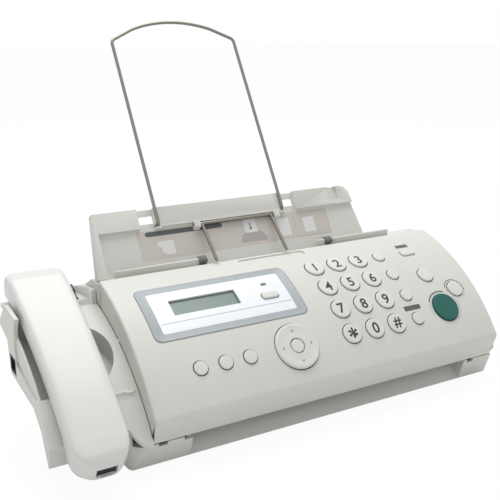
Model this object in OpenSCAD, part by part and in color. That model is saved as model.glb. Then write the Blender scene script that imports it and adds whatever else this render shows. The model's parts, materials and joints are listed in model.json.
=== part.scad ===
// Desk fax machine with a corded handset: a plain-paper film printer, a
// sheet-fed document reader and a telephone in one housing.
// X runs across the machine, Y from front to back, Z up from the desk.
// Drawing coordinates start at the left end of the front cover, at the
// bottom front edge of the housing; seat() shifts them to the part's origin.

/* [Control panel and front cover] */
// Width of the front cover
cover_w = 290; // [284:1:310]
// Radius of the curved control panel
panel_r = 154; // [146:1:170]
// Panel's front crease, in front of the housing's bottom edge
crease_y = -11.3; // [-13:0.1:-10]
// Height of the panel's front crease
crease_z = 34.9; // [33:0.1:37]
// Panel's back edge, behind the housing's bottom edge
panel_back_y = 80.5; // [79:0.1:82]
// Height of the panel's back edge
panel_back_z = 99; // [97:0.1:101]
// Height of the cover's skirt above the deck
skirt_h = 19; // [17:0.5:21]
// Wall of the covers and housings
wall = 2.5; // [2:0.1:3]
// How far the front cover opens, in degrees
cover_open = 42; // [20:1:44]

/* [Keys] */
// Radius of a number key
key_r = 7.8; // [6.5:0.1:8.4]
// Distance between number keys
key_pitch = 20.4; // [19.6:0.1:21]
// Radius of the small round keys
small_key_r = 5.1; // [4:0.1:6]
// Radius of the start key
start_r = 11.5; // [10:0.1:12.5]
// Radius of the stop key and of the copy key
stop_r = 6.8; // [5.5:0.1:7.5]
// Radius of the navigator ring
ring_r = 16.6; // [15:0.1:17.5]
// Radius of the set key inside the navigator ring
set_r = 5.2; // [4.5:0.1:6]
// How far a key stands out of the panel
key_proud = 1.6; // [1:0.1:2]
// Travel of a key
key_travel = 1; // [0.5:0.1:1.2]
// Gap around a key
key_gap = 0.35; // [0.25:0.05:0.5]

/* [Display] */
// Width of the display bezel
bezel_w = 117.5; // [112:0.5:120]
// Length of the display bezel along the panel
bezel_l = 46.5; // [44:0.5:48]
// Width of the display window
window_w = 50.8; // [44:0.5:54]
// Length of the display window along the panel
window_l = 13.6; // [12:0.5:16]

/* [Housing] */
// Depth of the housing on the desk
body_d = 188; // [180:1:200]
// Left edge of the housing, left of the front cover
body_left = 14; // [12:0.5:16]
// Height of the housing's front edge
front_h = 17; // [16:0.5:18]
// Height of the housing's back edge
back_h = 50; // [44:1:60]
// Height of the rubber feet under the housing
foot_h = 1.5; // [1.2:0.1:3]
// Margin of the paper exit from the cover's ends
exit_margin = 28; // [24:1:40]

/* [Paper tray] */
// Width of the tray at its foot
tray_w = 233.5; // [215:1:236]
// Narrowing of each side of the tray towards its top
tray_taper = 6; // [3:0.5:9]
// Length of the tray along its slope
tray_l = 48; // [44:1:60]
// Slope of the tray from level, in degrees
tray_slope = 57.2; // [54:0.2:60]
// Distance between the legs of the paper wire
wire_w = 106.5; // [100:1:120]
// Length of the paper wire beyond the tray's hooks
wire_l = 151; // [120:0.5:170]
// Radius of the wires
wire_r = 1.25; // [1:0.05:1.5]
// Distance between the legs of the document wire
doc_wire_w = 60.5; // [54:1:66]

/* [Handset and cradle] */
// Width of the handset
handset_w = 37.4; // [34:0.2:38]
// Thickness of the handset's grip
grip_t = 15.5; // [14:0.5:17]
// Radius of the handset's back
handset_r = 375; // [320:5:450]
// Left face of the cradle, left of the front cover
cradle_left = 63; // [62:0.2:66]
// Thickness of the cradle's wing
wing_t = 14; // [12:0.5:15]
// Radius of the finger scoop beside the handset
scoop_r = 23; // [20:0.5:24]

/* [Paper drive] */
// Radius of the platen roller
platen_r = 8; // [7:0.2:8.4]
// Radius of the full film roll
supply_r = 15.5; // [12:0.5:16]
// Radius of the used film roll
takeup_r = 10; // [8:0.5:11]
// Radius of the roller shafts
shaft_r = 3; // [2.5:0.1:3.4]
// Running clearance of shafts and pins
run_gap = 0.08; // [0.05:0.01:0.1]
// Module of the gear teeth
gear_m = 1; // [1:0.05:1.1]

/* [Hidden] */

$fn = 64;
eps = 0.01;
fit = 0.4;                       // gap between neighbouring covers
far = 300;                       // reach of the cutting shapes

// Colours
c_case = [0.86, 0.86, 0.83];
c_key = [0.90, 0.90, 0.87];
c_white = [0.93, 0.94, 0.93];
c_bezel = [0.62, 0.66, 0.68];
c_lcd = [0.55, 0.63, 0.57];
c_start = [0.12, 0.38, 0.34];
c_dark = [0.12, 0.12, 0.13];
c_steel = [0.70, 0.70, 0.70];
c_board = [0.10, 0.36, 0.20];
c_gear = [0.92, 0.92, 0.88];

// The panel's arc: a circle through the crease and the back edge
chord_y = panel_back_y - crease_y;
chord_z = panel_back_z - crease_z;
chord = norm([chord_y, chord_z]);
arc_off = sqrt(panel_r * panel_r - chord * chord / 4);
arc_y = (crease_y + panel_back_y) / 2 + arc_off * chord_z / chord;
arc_z = (crease_z + panel_back_z) / 2 - arc_off * chord_y / chord;
arc_start = atan2(arc_y - crease_y, crease_z - arc_z);
function panel_z(y, inset = 0) = arc_z + sqrt(pow(panel_r - inset, 2) - pow(y - arc_y, 2));
function deck_z(y) = panel_z(y) - skirt_h;
function panel_angle(s) = arc_start - s / panel_r * 180 / PI;

// Lip under the crease, and the housing's front below it
lip_y = crease_y + 6;
lip_z = front_h + fit;
corner_r = 12;

// Cover hinge: a round back edge on two knuckles
hinge_r = 3.6;
hinge_y = panel_back_y;
hinge_z = panel_back_z - hinge_r;
hinge_pin_r = 1.9;
hinge_pin_l = 5;
knuckle_w = 7;
knuckle_x = [3, cover_w - 22];

// Places on the panel: X from its left end, S up the curve from the crease
row_4 = 27.2;
row_1 = row_4 + 3 * key_pitch;
col_1 = cover_w - 129.8;
col_4 = col_1 + 3 * key_pitch;
col_5 = cover_w - 40;
left_keys_x = 39.3;
left_key_pitch = 18.4;
menu_right = left_keys_x + 2 * left_key_pitch + small_key_r;
ring_share = 0.4476;             // the ring's place between the menu key and the star key
ring_at = [menu_right + ring_share * (col_1 - key_r - menu_right), row_4];
start_at = [cover_w - 38.8, 31];
copy_at = [cover_w - 21, 44.4];
stop_at = [col_5, 61.8];
quality_at = [col_5, 87.3];
bar_key = [14, 6];
display_at = [16.4 + bezel_w / 2, 73.2];
plate_margin = [7.2, 5.5];
window_at = [display_at[0] - 13.1, display_at[1] + 2.4];
answer_at = [display_at[0] + 36.5, display_at[1] - 2.5];
lamp_at = [answer_at[0], answer_at[1] + 11.2];
lamp_size = [4.2, 1.8];

// A key's section: a flange keeps the cap under the panel's wall
flange_out = 1.2;
flange_t = 1.2;
flange_top = wall + pow(start_r + flange_out, 2) / 2 / panel_r + 0.25;
mat_top = flange_top + flange_t + key_travel + 0.7;
mat_t = 1.5;
mat_x = [30, cover_w - 12];
mat_s = [15, 96];
pad_r = 3;
board_t = 1.6;
board_x = [24, cover_w - 28];
board_l = 70;
board_mid = 53;
board_depth = mat_top + mat_t + pow(board_l / 2, 2) / 2 / panel_r + 2.6;
board_low = board_depth + board_t;
bevel = 0.6;
tilt_gap = 0.6;                  // gap around the rocking ring
ring_low = 4.2;
ring_pin_r = 1;
ring_pin_depth = 3.4;
lcd_margin = 4;
lcd_top = wall + pow(window_l + lcd_margin, 2) / 8 / (panel_r - wall);
lcd_t = 6;
frame_lip = 0.5;                 // how far the display frame stands out
frame_in = 0.8;                  // and how deep it is let in

// Fixed rear cover: shelf, ridge and slope
ridge_y = 112;
ridge_z = panel_back_z - 11;
shelf_z = panel_back_z - 3;
shelf_back = 97;
ledge_y = panel_back_y + hinge_r + 1.3;
ledge_t = 1.6;
ledge_h = 7;
slot_1 = [13, 74];
slot_2 = [cover_w - 108, cover_w - 36];
ledge_extra = 11;
guide_w = 6;
guide_rest = [slot_1[1] + ledge_extra - guide_w - 1, slot_2[0] + 8];
guide_travel = 52;
door_x = [42, cover_w - 66];
door_at = [body_d - 4, 12];
door_pin_r = 2;
door_top_y = ridge_y + 22;
door_catch = [40, 3];
slope = (back_h - ridge_z) / (body_d - ridge_y);
function slope_z(y) = ridge_z + slope * (y - ridge_y);

// Tray: front face through tray_y0 at the shelf, leaning back by tray_slope
tray_y0 = ledge_y + ledge_t + 2;
tray_t = 3;
foot_gap = 0.1;                  // play under the tray's foot
tray_x0 = 1;
tab_x = [30, tray_w - 42];
tab_w = 12;
tray_corner = 9;
tray_right = tray_x0 + tray_w - tray_taper + 1;
tab_l = 8;
band_l = 15;
band_t = 3;
wire_x = [tray_x0 + 54, tray_x0 + 54 + wire_w];
wire_foot = tray_l - 13.5;
wire_lift = band_t + wire_r + 0.1;
crown_rise = 16;
notch_w = 13;
doc_wire_x = [tray_x0 + 89, tray_x0 + 89 + doc_wire_w];
doc_wire_u = tray_l - band_l - 1.7;                 // pivot, along the tray
doc_wire_lift = 2.3;               // pivot, above the tray's face
doc_wire_drop = 42.5;              // slope of the bail's legs
doc_wire_l = 32.5;
bracket_w = 5;

// Handset: a back arc between the nose and the ear end
nose_rise = 9.7;
ear_rise = 21.75;
hs_front = [-20.5, deck_z(0) + nose_rise];
hs_rear = [93.4, deck_z(93.4) + ear_rise];
hs_mid = -38.1;
hs_taper = 5;                    // wider at the ear end than at the nose
hs_nose_r = (handset_w - hs_taper / 2) / 2;
hs_ear_half = (handset_w + hs_taper / 2) / 2;
hs_chord = norm(hs_rear - hs_front);
hs_dir = (hs_rear - hs_front) / hs_chord;
hs_tilt = atan2(hs_dir[1], hs_dir[0]);
hs_c = (hs_front + hs_rear) / 2
     + sqrt(handset_r * handset_r - hs_chord * hs_chord / 4) * [hs_dir[1], -hs_dir[0]];
hs_wall = 2;
hs_seam = 11.5;
hs_ear_r = 9.5;
hs_nose = 17;
hs_l = hs_chord + hs_nose + 16.5;
nose_jack = [13, 6];

// Cradle wing and its wells
wing_front = -1;
strip_front = -8.5;
seam_y = 87.5;
well_y = [21, 82];
well_depth = 14;
well_right = hs_mid + hs_ear_half + 0.6;
scoop_at = [-29.5, 44.5];
flank_t = 2.6;
ear_at = [-27.5, 94];
ear_r = 25;
rest_h = 9.5;
hook_x = [-16, -10];
hook_at = [109, deck_z(109) - 5.6];
hook_pin_r = 1.5;
paddle_x = -32;
cord_jack_at = [75, deck_z(75) - 25];

// Fastenings, feet and sockets
foot_r = 7;
foot_sunk = 0.8;
foot_at = [[12, 16], [cover_w - 14, 16], [2, body_d - 14], [cover_w - 14, body_d - 14]];
screw_r = 1.6;
boss_r = 4;
boss_h = 10;
post_r = 3.4;
exit_back = 11;
latch_x = [4, 22, cover_w - 25];    // gaps in the front wall's top for the cover's latches
latch_w = 6.5;
latch_h = 2.4;
rear_screws = [[14, 150], [cover_w - 14, 150]];
cradle_screw = [-6, exit_back + post_r + 2.6];
ear_screw = [-6, 93];
screw_at = concat(rear_screws, [cradle_screw, ear_screw]);
jack_w = 14;
jack_h = 12;
jack_l = 14;
jack_z = 14;
jack_x = [8, 26];
inlet_w = 24;
inlet_h = 18;
inlet_x = cover_w - 42;
socket_wall = 1.5;
speaker_at = [cover_w - 40, 120];
speaker_r = 18;
speaker_h = 12;
board_z = wall + 5.5;
boards_l = 72;
board_space = 8;
main_board = [34, 104];
power_board_w = 40;
power_board = [speaker_at[0] - speaker_r - 14 - power_board_w, main_board[1]];

// Paper exit: the front leans back below the lip
exit_x = [exit_margin, cover_w - exit_margin];
exit_h = front_h - 5;

// Paper drive: shaft centres in side view
platen_at = [44, 26];
takeup_at = [22, 32];
supply_at = [62, 57];
doc_roll_at = [70, 80];
doc_roll_r = 5.5;
pickup_at = [91, 81];
pickup_r = 9.5;
sensor_x = [40, cover_w - 50];
sensor_y = [68.3, 76];
sensor_low = doc_roll_at[1] + doc_roll_r + 0.7;
frame_x = [24, cover_w - 28];
frame_t = 3;
shaft_x = [frame_x[0] - 1.5, frame_x[1] + frame_t + 1.5];
roll_x = [frame_x[0] + frame_t + 3, frame_x[1] - 3];
gear_x = cover_w - 11;
gear_w = 5;
n_drive = 30;
n_platen = 24;
n_takeup = 18;
function mesh_d(a, b) = gear_m * (a + b) / 2 + 0.1;

// The drive gear sits where it meets both roller gears
pt = takeup_at - platen_at;
pt_d = norm(pt);
d_p = mesh_d(n_drive, n_platen);
d_t = mesh_d(n_drive, n_takeup);
along = (d_p * d_p - d_t * d_t + pt_d * pt_d) / 2 / pt_d;
up = sqrt(d_p * d_p - along * along);
drive_at = platen_at + along * pt / pt_d + up * [pt[1], -pt[0]] / pt_d;
to_platen = atan2(platen_at[1] - drive_at[1], platen_at[0] - drive_at[0]);
to_takeup = atan2(takeup_at[1] - drive_at[1], takeup_at[0] - drive_at[0]);
drive_step = 360 / n_drive;
takeup_lag = ((to_takeup - to_platen) % drive_step + drive_step) % drive_step;
platen_phase = to_platen + 180 + 180 / n_platen;
takeup_phase = to_takeup + 180 + 180 / n_takeup + takeup_lag * n_drive / n_takeup;
motor_r = 13;
motor_x = [frame_x[1] + frame_t + 1, gear_x - 1];
motor_pin_r = 1.5;
head_at = [37, 34.6];
head_size = [13, 6];

// The origin is the middle of the floor area, from the handset's nose to
// the top of the paper wire
nose_reach = 31;
crown_y = tray_y0 + (wire_foot + wire_l + crown_rise) * cos(tray_slope) - wire_lift * sin(tray_slope) + wire_r;
origin_x = (cover_w - cradle_left) / 2;
origin_y = (crown_y - nose_reach) / 2;

// ---------------------------------------------------------------- helpers

// Shift from drawing coordinates to the part's origin, under the feet
module seat() translate([-origin_x, -origin_y, foot_h]) children();

// A side-view outline (Y across, Z up) drawn out along X from x0 to x1
module across(x0, x1) translate([x0, 0, 0]) rotate([90, 0, 90]) linear_extrude(x1 - x0) children();

// A round bar along X
module bar(x0, x1, at, r) translate([x0, at[0], at[1]]) rotate([0, 90, 0]) cylinder(r = r, h = x1 - x0);

// A place on the panel, with local Z along its normal and local Y up the curve
module on_panel(at) translate([at[0], arc_y, arc_z]) rotate([panel_angle(at[1]), 0, 0])
    translate([0, 0, panel_r]) children();

// A place on the tray, with local Y up its slope and local Z off its face
module on_tray() translate([0, tray_y0, shelf_z]) rotate([tray_slope, 0, 0]) children();

// A disc bounded by the panel's arc, lowered by drop and shrunk by inset
module panel_disc(drop = 0, inset = 0) translate([arc_y, arc_z - drop]) circle(r = panel_r - inset, $fn = 256);

// A rectangle with round corners, centred
module soft_rect(size, r) {
    square([size[0] - 2 * r, size[1]], center = true);
    square([size[0], size[1] - 2 * r], center = true);
    for (x = [-1, 1], y = [-1, 1])
        translate([x * (size[0] / 2 - r), y * (size[1] / 2 - r)]) circle(r = r, $fn = 32);
}

// A curved sheet under the panel's surface, from depth d0 to depth d1, with a flat outline
module panel_patch(at, d0, d1) intersection() {
    across(-far, far * 2) difference() {
        panel_disc(inset = d0);
        panel_disc(inset = d1);
    }
    on_panel(at) translate([0, 0, -30]) linear_extrude(60) children();
}

// A band that follows the deck between two Y values, from lowered to thick under its face
module deck_band(y0, y1, thick, lowered = 0) intersection() {
    difference() {
        panel_disc(drop = skirt_h + lowered);
        panel_disc(drop = skirt_h + thick);
    }
    translate([y0, 0]) square([y1 - y0, far]);
}

// All that lies over the deck lowered by thick, between two Y values
module deck_over(y0, y1, thick) difference() {
    translate([y0, 0]) square([y1 - y0, far]);
    panel_disc(drop = skirt_h + thick);
}

// Spur gear outline with straight-sided teeth, pitch radius gear_m * n / 2
module gear_outline(n, phase) rotate(phase) {
    root = gear_m * (n / 2 - 1.15);
    tip = gear_m * (n / 2 + 0.75);
    circle(r = root + 0.05);
    for (k = [0 : n - 1]) rotate(k * 360 / n)
        polygon([[root - 0.6, -gear_m], [root - 0.6, gear_m], [tip, gear_m * 0.36], [tip, -gear_m * 0.36]]);
}
module gear(n, at, phase) translate([gear_x, at[0], at[1]]) rotate([90, 0, 90])
    linear_extrude(gear_w) gear_outline(n, phase);

// ---------------------------------------------------------------- housing

// Side outline of the lower housing; drop is the gap below the deck's face
module base_profile(drop) {
    intersection() {
        panel_disc(drop = skirt_h + drop);
        polygon([[0, 0], [lip_y - 0.3, front_h], [lip_y + wall + fit, front_h], [lip_y + wall + fit, far],
                 [ridge_y + 1, far], [ridge_y + 1, 0]]);
    }
    polygon([[ridge_y, 0], [ridge_y, slope_z(ridge_y) - wall - drop], [body_d, back_h - wall - drop], [body_d, 0]]);
}

// The hollow inside its walls, open at the top
module base_hollow() polygon([[wall + 1, wall], [lip_y + wall, front_h + eps], [lip_y + wall, far],
                              [body_d - wall, far], [body_d - wall, wall]]);

module front_cheek() polygon([[0, 0], [lip_y - 0.3, front_h], [exit_back, front_h], [exit_back, 0]]);

// Side frames that carry the rollers
module roller_frame() difference() {
    union() {
        intersection() {
            polygon([[8, 1], [8, 30], [14, 60], [58, 90], [ridge_y - 6, 78], [ridge_y - 6, 1]]);
            panel_disc(inset = board_low + 3);
        }
        polygon([[60, 60], [doc_roll_at[0] - 6, doc_roll_at[1] + 5], [doc_roll_at[0] + 6, doc_roll_at[1] + 5],
                 [pickup_at[0] - 5, pickup_at[1] + 6], [pickup_at[0] + 6, pickup_at[1] + 6],
                 [ridge_y - 6, 78], [ridge_y - 6, 60]]);
    }
    for (p = [platen_at, takeup_at, supply_at, doc_roll_at, pickup_at])
        translate(p) circle(r = shaft_r + run_gap);
}

// Lower housing: floor, outer walls, paper exit, bosses and roller frames
module base_shell() color(c_case) seat() difference() {
    union() {
        difference() {
            across(-body_left, cover_w) base_profile(fit);
            across(-body_left + wall, cover_w - wall) base_hollow();
            // left of the cover the walls end under the cradle's deck and its well
            across(-body_left - 1, -fit / 2) difference() {
                translate([-far, front_h - 2]) square([far + ridge_y, far]);
                base_profile(wall + fit);
            }
            across(-body_left - 1, -body_left + wall + 1)
                deck_over(well_y[0] - wall - fit, well_y[1] + wall + fit, well_depth + wall + fit);
            across(-body_left - 1, -body_left + wall + 1) deck_over(ear_at[1] + 1, ridge_y, 16);
            across(exit_x[0], exit_x[1])
                polygon([[-far, -1], [-eps, -1], [exit_back, exit_h], [exit_back, 60], [-far, 60]]);
        }
        across(exit_x[0] - 1, exit_x[1] + 1)
            polygon([[0, 0], [exit_back, exit_h], [exit_back + wall, exit_h], [wall + 2, 0]]);
        for (x = [exit_x[0] - wall, exit_x[1]]) across(x, x + wall) front_cheek();
        across(-body_left, corner_r - body_left + wall) front_cheek();
        for (x = frame_x) across(x, x + frame_t) roller_frame();
        for (p = screw_at) translate([p[0], p[1], 0]) cylinder(r = boss_r, h = boss_h);
        for (x = [door_x[0] - fit - wall, door_x[1] + fit]) across(x, x + wall)
            translate([door_at[0] - 5, 0]) square([body_d - door_at[0] + 5, door_at[1] + 5]);
        bar(frame_x[1] + frame_t - eps, motor_x[0], drive_at, motor_r - 3);
    }
    for (x = latch_x) translate([x, lip_y - 5, front_h - latch_h]) cube([latch_w, wall + 6, latch_h + 1]);
    // rounded front left corner
    difference() {
        translate([-body_left - 1, -30, -1]) cube([corner_r + 1, corner_r + 30 + lip_y, front_h + 20]);
        translate([corner_r - body_left, corner_r + lip_y, -2]) cylinder(r = corner_r, h = front_h + 30);
    }
    // opening for the back door, with its hinge bores
    translate([door_x[0] - fit, body_d - wall - 0.5, door_at[1] - 6.5])
        cube([door_x[1] - door_x[0] + 2 * fit, wall + 1, far]);
    for (x = [door_x[0] - fit - wall, door_x[1] + fit])
        bar(x - 1, x + wall + 1, door_at, door_pin_r + run_gap);
    for (x = jack_x) translate([x - jack_w / 2 - fit / 4, body_d - wall - 1, jack_z - fit / 4])
        cube([jack_w + fit / 2, wall + 2, jack_h + fit / 2]);
    translate([inlet_x - inlet_w / 2 - fit / 4, body_d - wall - 1, jack_z - fit / 4])
        cube([inlet_w + fit / 2, wall + 2, inlet_h + fit / 2]);
    for (k = [-3 : 3]) translate([speaker_at[0] - 11, speaker_at[1] + k * 4 - 0.8, -1])
        cube([22, 1.6, wall + 2]);
    for (p = foot_at) translate([p[0], p[1], -1]) cylinder(r = foot_r + 0.1, h = 1 + foot_sunk);
    for (p = screw_at) {
        translate([p[0], p[1], -1]) cylinder(r = screw_r + 0.2, h = boss_h + 2);
        translate([p[0], p[1], -1]) cylinder(r = screw_r * 2 + 0.2, h = 4);
    }
}

// Four rubber feet, pressed into round recesses in the floor
module feet() color(c_dark) seat() for (p = foot_at) translate([p[0], p[1], -foot_h])
    cylinder(r = foot_r, h = foot_h + foot_sunk);

// Screws that close the housing from below
module case_screws() color(c_steel) seat() for (p = screw_at) translate([p[0], p[1], 1]) {
    cylinder(r = screw_r, h = boss_h + 6);
    cylinder(r = screw_r * 2, h = 2);
}

// A post above a screw boss, from the boss up to the height top
module post(p, top) difference() {
    translate([p[0], p[1], boss_h]) cylinder(r = post_r, h = top - boss_h);
    translate([p[0], p[1], boss_h - 1]) cylinder(r = screw_r + 0.1, h = 9);
}

// Side outline of the fixed rear cover's top sheet
module rear_sheet() polygon([[ledge_y, shelf_z - 5], [ledge_y, shelf_z], [shelf_back, shelf_z],
    [ridge_y, ridge_z], [body_d, back_h], [body_d, back_h - wall], [ridge_y, ridge_z - wall],
    [shelf_back - 1, shelf_z - wall], [ledge_y + ledge_t, shelf_z - wall], [ledge_y + ledge_t, shelf_z - 5]]);

// Side outline of its end walls
module rear_side() difference() {
    polygon([[panel_back_y + fit, 50], [panel_back_y + fit, shelf_z - 0.5], [shelf_back, shelf_z - 0.5],
             [ridge_y, ridge_z - 0.5], [ridge_y, 50]]);
    panel_disc(drop = skirt_h);
    translate([hinge_y, hinge_z]) circle(r = hinge_r + fit);
}
module ledge_outline(grow = 0) polygon([[ledge_y - grow, shelf_z - 1], [ledge_y - 0.6 - grow, shelf_z + ledge_h - 0.6],
    [ledge_y + 0.2 - grow, shelf_z + ledge_h + grow], [ledge_y + ledge_t + grow, shelf_z + ledge_h - 1 + grow],
    [ledge_y + ledge_t + grow, shelf_z - 1]]);

// Rear cover: shelf behind the document slot, ledges, hinge knuckles, slope
module rear_housing() color(c_case) seat() difference() {
    union() {
        across(0, cover_w) rear_sheet();
        across(-body_left, wall) intersection() {
            rear_sheet();
            translate([ridge_y + fit, 0]) square([far, far]);
        }
        for (x = [0, cover_w - wall]) across(x, x + wall) rear_side();
        for (x = [slot_1[0], slot_2[0]]) across(x, x + slot_1[1] - slot_1[0] + ledge_extra) ledge_outline();
        for (x = knuckle_x) {
            bar(x, x + knuckle_w, [hinge_y, hinge_z], hinge_r - 0.3);
            across(x, x + knuckle_w) polygon([[hinge_y + 1, hinge_z - 3], [hinge_y + 1, hinge_z + 2.6],
                [ledge_y + ledge_t, hinge_z + 0.5], [ledge_y + ledge_t, hinge_z - 4.4]]);
            bar(x + knuckle_w - eps, x + knuckle_w + hinge_pin_l, [hinge_y, hinge_z], hinge_pin_r);
        }
        for (p = rear_screws) post(p, slope_z(p[1]) - 1);
    }
    // paper slot in front of the tray, and the slots of the tray's tabs
    across(tray_x0 + 16, tray_x0 + tray_w - 16)
        translate([ledge_y + ledge_t, shelf_z - 20]) square([tray_y0 - ledge_y - ledge_t + fit, 30]);
    // groove for the tray's foot
    on_tray() translate([tray_x0 - fit / 2, -foot_gap, -tray_t - fit / 2]) cube([tray_w + fit, 4, tray_t + fit / 2]);
    for (x = tab_x) translate([x - 0.2, 0, 0]) on_tray() translate([0, -tab_l - 4, -tray_t - 0.2])
        cube([tab_w + 0.4, tab_l + 6, tray_t + 0.4]);
    // opening for the back door
    translate([door_x[0] - fit, door_top_y - fit, 0]) cube([door_x[1] - door_x[0] + 2 * fit, far, far]);
}

// Back door: closes the paper path in the slope and the back wall
module back_door() color(c_case) seat() {
    across(door_x[0], door_x[1]) polygon([[door_top_y, slope_z(door_top_y)], [body_d, back_h],
        [body_d, door_at[1] - 3], [door_at[0] + 1, door_at[1] - 3], [door_at[0], door_at[1]],
        [body_d - wall, door_at[1] + 3], [body_d - wall, back_h - wall], [door_top_y, slope_z(door_top_y) - wall]]);
    bar(door_x[0], door_x[1], door_at, 3);
    bar(door_x[0] - fit - wall, door_x[1] + fit + wall, door_at, door_pin_r);
    translate([(door_x[0] + door_x[1] - door_catch[0]) / 2, door_top_y + 4, slope_z(door_top_y + 4) - 1])
        rotate([atan(slope), 0, 0]) cube([door_catch[0], door_catch[1], 2.2]);
}

// ---------------------------------------------------------------- cradle

// Wing outline seen from the left: the deck's slope, the grip's opening,
// the rear pillar with the cord socket, and the tail under it
module flank_outline() {
    g = deck_z(well_y[0] + 1);
    r = deck_z(seam_y) + rest_h;
    difference() {
        polygon([
             [wing_front + 3, deck_z(wing_front) - wing_t], [wing_front, deck_z(wing_front)], [wing_front, g],
             [well_y[0] + 1, g], [well_y[0] + 4, g - 2], [66, g + 5], [68, g + 16], [66, g + 29], [61, g + 38],
             [64, r - 1.5], [87, r], [108, r - 18.5], [87, g + 15.5], [82, g - 7], [29, g - 9],
             [15, g - 18], [5, deck_z(wing_front) - wing_t + 2]]);
        deck_over(wing_front - 1, well_y[0] + 1, 0);
        translate(cord_jack_at) square([jack_w + fit / 2, jack_h + fit / 2], center = true);
    }
}

// Plan of the well under the handset's grip, with the finger scoop
module well_plan(grow = 0) {
    translate(scoop_at) circle(r = scoop_r + grow, $fn = 96);
    translate([-cradle_left + flank_t - grow, well_y[0] - grow])
        square([cradle_left - flank_t + well_right + 2 * grow, well_y[1] - well_y[0] + 2 * grow]);
}

// Cradle wing: deck, front edge, left flank and the well under the handset
module cradle() color(c_case) seat() difference() {
    union() {
        across(-cradle_left + flank_t / 2, -fit) deck_band(wing_front, seam_y - fit, wall);
        across(-body_left, -fit) deck_band(strip_front, 0, wall);
        across(-cradle_left, -body_left) polygon([[wing_front, deck_z(wing_front)],
            [wing_front + 3, deck_z(wing_front) - wing_t], [wing_front + 3 + wall, deck_z(wing_front) - wing_t],
            [wing_front + wall, deck_z(wing_front)]]);
        across(-cradle_left, -cradle_left + flank_t) flank_outline();
        intersection() {
            translate([0, 0, 10]) linear_extrude(100) well_plan(wall);
            across(-cradle_left + flank_t / 2, -fit) deck_band(well_y[0] - wall, well_y[1] + wall, well_depth + wall);
        }
        // shelf under the ear rest
        across(-cradle_left + 1, -body_left - fit) deck_band(seam_y - 6, seam_y - fit, 2 * wall + fit);
        across(-cradle_left + 1, -body_left - fit) deck_band(seam_y - 6, ridge_y - 9, 2 * wall + fit, wall + 3 * fit);
        post(cradle_screw, deck_z(cradle_screw[1]) - 1);
    }
    intersection() {
        translate([0, 0, 10]) linear_extrude(200) well_plan();
        across(-cradle_left - 1, -fit) deck_over(well_y[0] - 1, well_y[1] + 1, well_depth);
    }
    // rounded front corner of the strip
    difference() {
        translate([-body_left - 1, -30, 0]) cube([corner_r + 1, 30 + wing_front - 0.5, far]);
        translate([corner_r - body_left, corner_r + strip_front - eps, -1]) cylinder(r = corner_r, h = far);
    }
    translate([paddle_x - 2, ear_at[1] + 1, 0]) cube([-paddle_x, far, far]);
}

// Ear rest: fixed block behind the seam, with the well of the handset's ear end
module ear_rest() color(c_case) seat() difference() {
    union() {
        across(-cradle_left + flank_t + fit, -fit) polygon([[seam_y, deck_z(seam_y) - wall],
            [seam_y, deck_z(seam_y)], [seam_y + 0.5, deck_z(seam_y) + rest_h], [ridge_y, ridge_z],
            [ridge_y, deck_z(ridge_y) - wall]]);
        for (x = [hook_x[0] - fit - wall, hook_x[1] + fit]) across(x, x + wall)
            translate([hook_at[0] - 4, hook_at[1] - 4]) square([ridge_y - hook_at[0] + 4, 8]);
        post(ear_screw, deck_z(ear_screw[1]) - 1);
    }
    intersection() {
        across(-far, 0) deck_over(seam_y - 1, ridge_y + 10, 0);
        union() {
            translate([ear_at[0], ear_at[1], 0]) cylinder(r = ear_r, h = far, $fn = 96);
            translate([-far, seam_y - 1, 0]) cube([far + ear_at[0], 60, far]);
        }
    }
    translate([hook_x[0] - fit, ear_at[1] + 2.5, 0]) cube([hook_x[1] - hook_x[0] + 2 * fit, 60, far]);
    translate([paddle_x - fit, ear_at[1] + 2.5, 0]) cube([hook_x[0] - paddle_x + fit, 5.5, far]);
    bar(hook_x[0] - 8, hook_x[1] + 8, hook_at, hook_pin_r + run_gap);
}

// Hook switch lever: a paddle under the handset's ear end, and the fin beside it
module hook_lever() color(c_dark) seat() translate([0, hook_at[0], hook_at[1]]) {
    across(hook_x[0], hook_x[1]) polygon([[-11.5, 2.9], [-11.5, 5], [-6, 6.2], [-4.5, 9.5], [1.5, 11.5],
        [1.8, 7], [2.4, 3], [2.4, -2.4], [-2.6, -2.4], [-5, 2.4]]);
    across(paddle_x, hook_x[0] + eps) polygon([[-11.5, 2.9], [-11.5, 5], [-8, 5.4], [-8, 2.9]]);
    bar(hook_x[0] - 3, hook_x[1] + 3, [0, 0], hook_pin_r);
}

// ---------------------------------------------------------------- front cover

// Side outline of the front cover: panel, lip, skirt and round hinge edge
module cover_outline() {
    difference() {
        intersection() {
            panel_disc();
            polygon([[crease_y, crease_z], [lip_y, lip_z], [panel_back_y, lip_z], [panel_back_y, far], [crease_y, far]]);
        }
        difference() {
            panel_disc(drop = skirt_h);
            translate([-far, 0]) square([far + lip_y + wall, far]);
        }
    }
    translate([hinge_y, hinge_z]) circle(r = hinge_r);
}

// The hollow inside the cover
module cover_hollow() difference() {
    intersection() {
        panel_disc(inset = wall);
        polygon([[crease_y + wall, crease_z], [lip_y + wall, lip_z], [lip_y + wall, 0], [panel_back_y + 1, 0],
                 [panel_back_y + 1, hinge_z - hinge_r], [panel_back_y - wall, hinge_z - hinge_r],
                 [panel_back_y - wall, far], [crease_y + wall, far]]);
    }
    translate([hinge_y, hinge_z]) circle(r = hinge_r);
}
number_keys = [for (row = [0 : 3], col = [0 : 2]) [col_1 + col * key_pitch, row_1 - row * key_pitch]];
small_keys = concat([for (k = [0 : 2]) [left_keys_x + k * left_key_pitch, row_4]],
                    [for (k = [0 : 3]) [col_4, row_1 - k * key_pitch]]);

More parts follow.
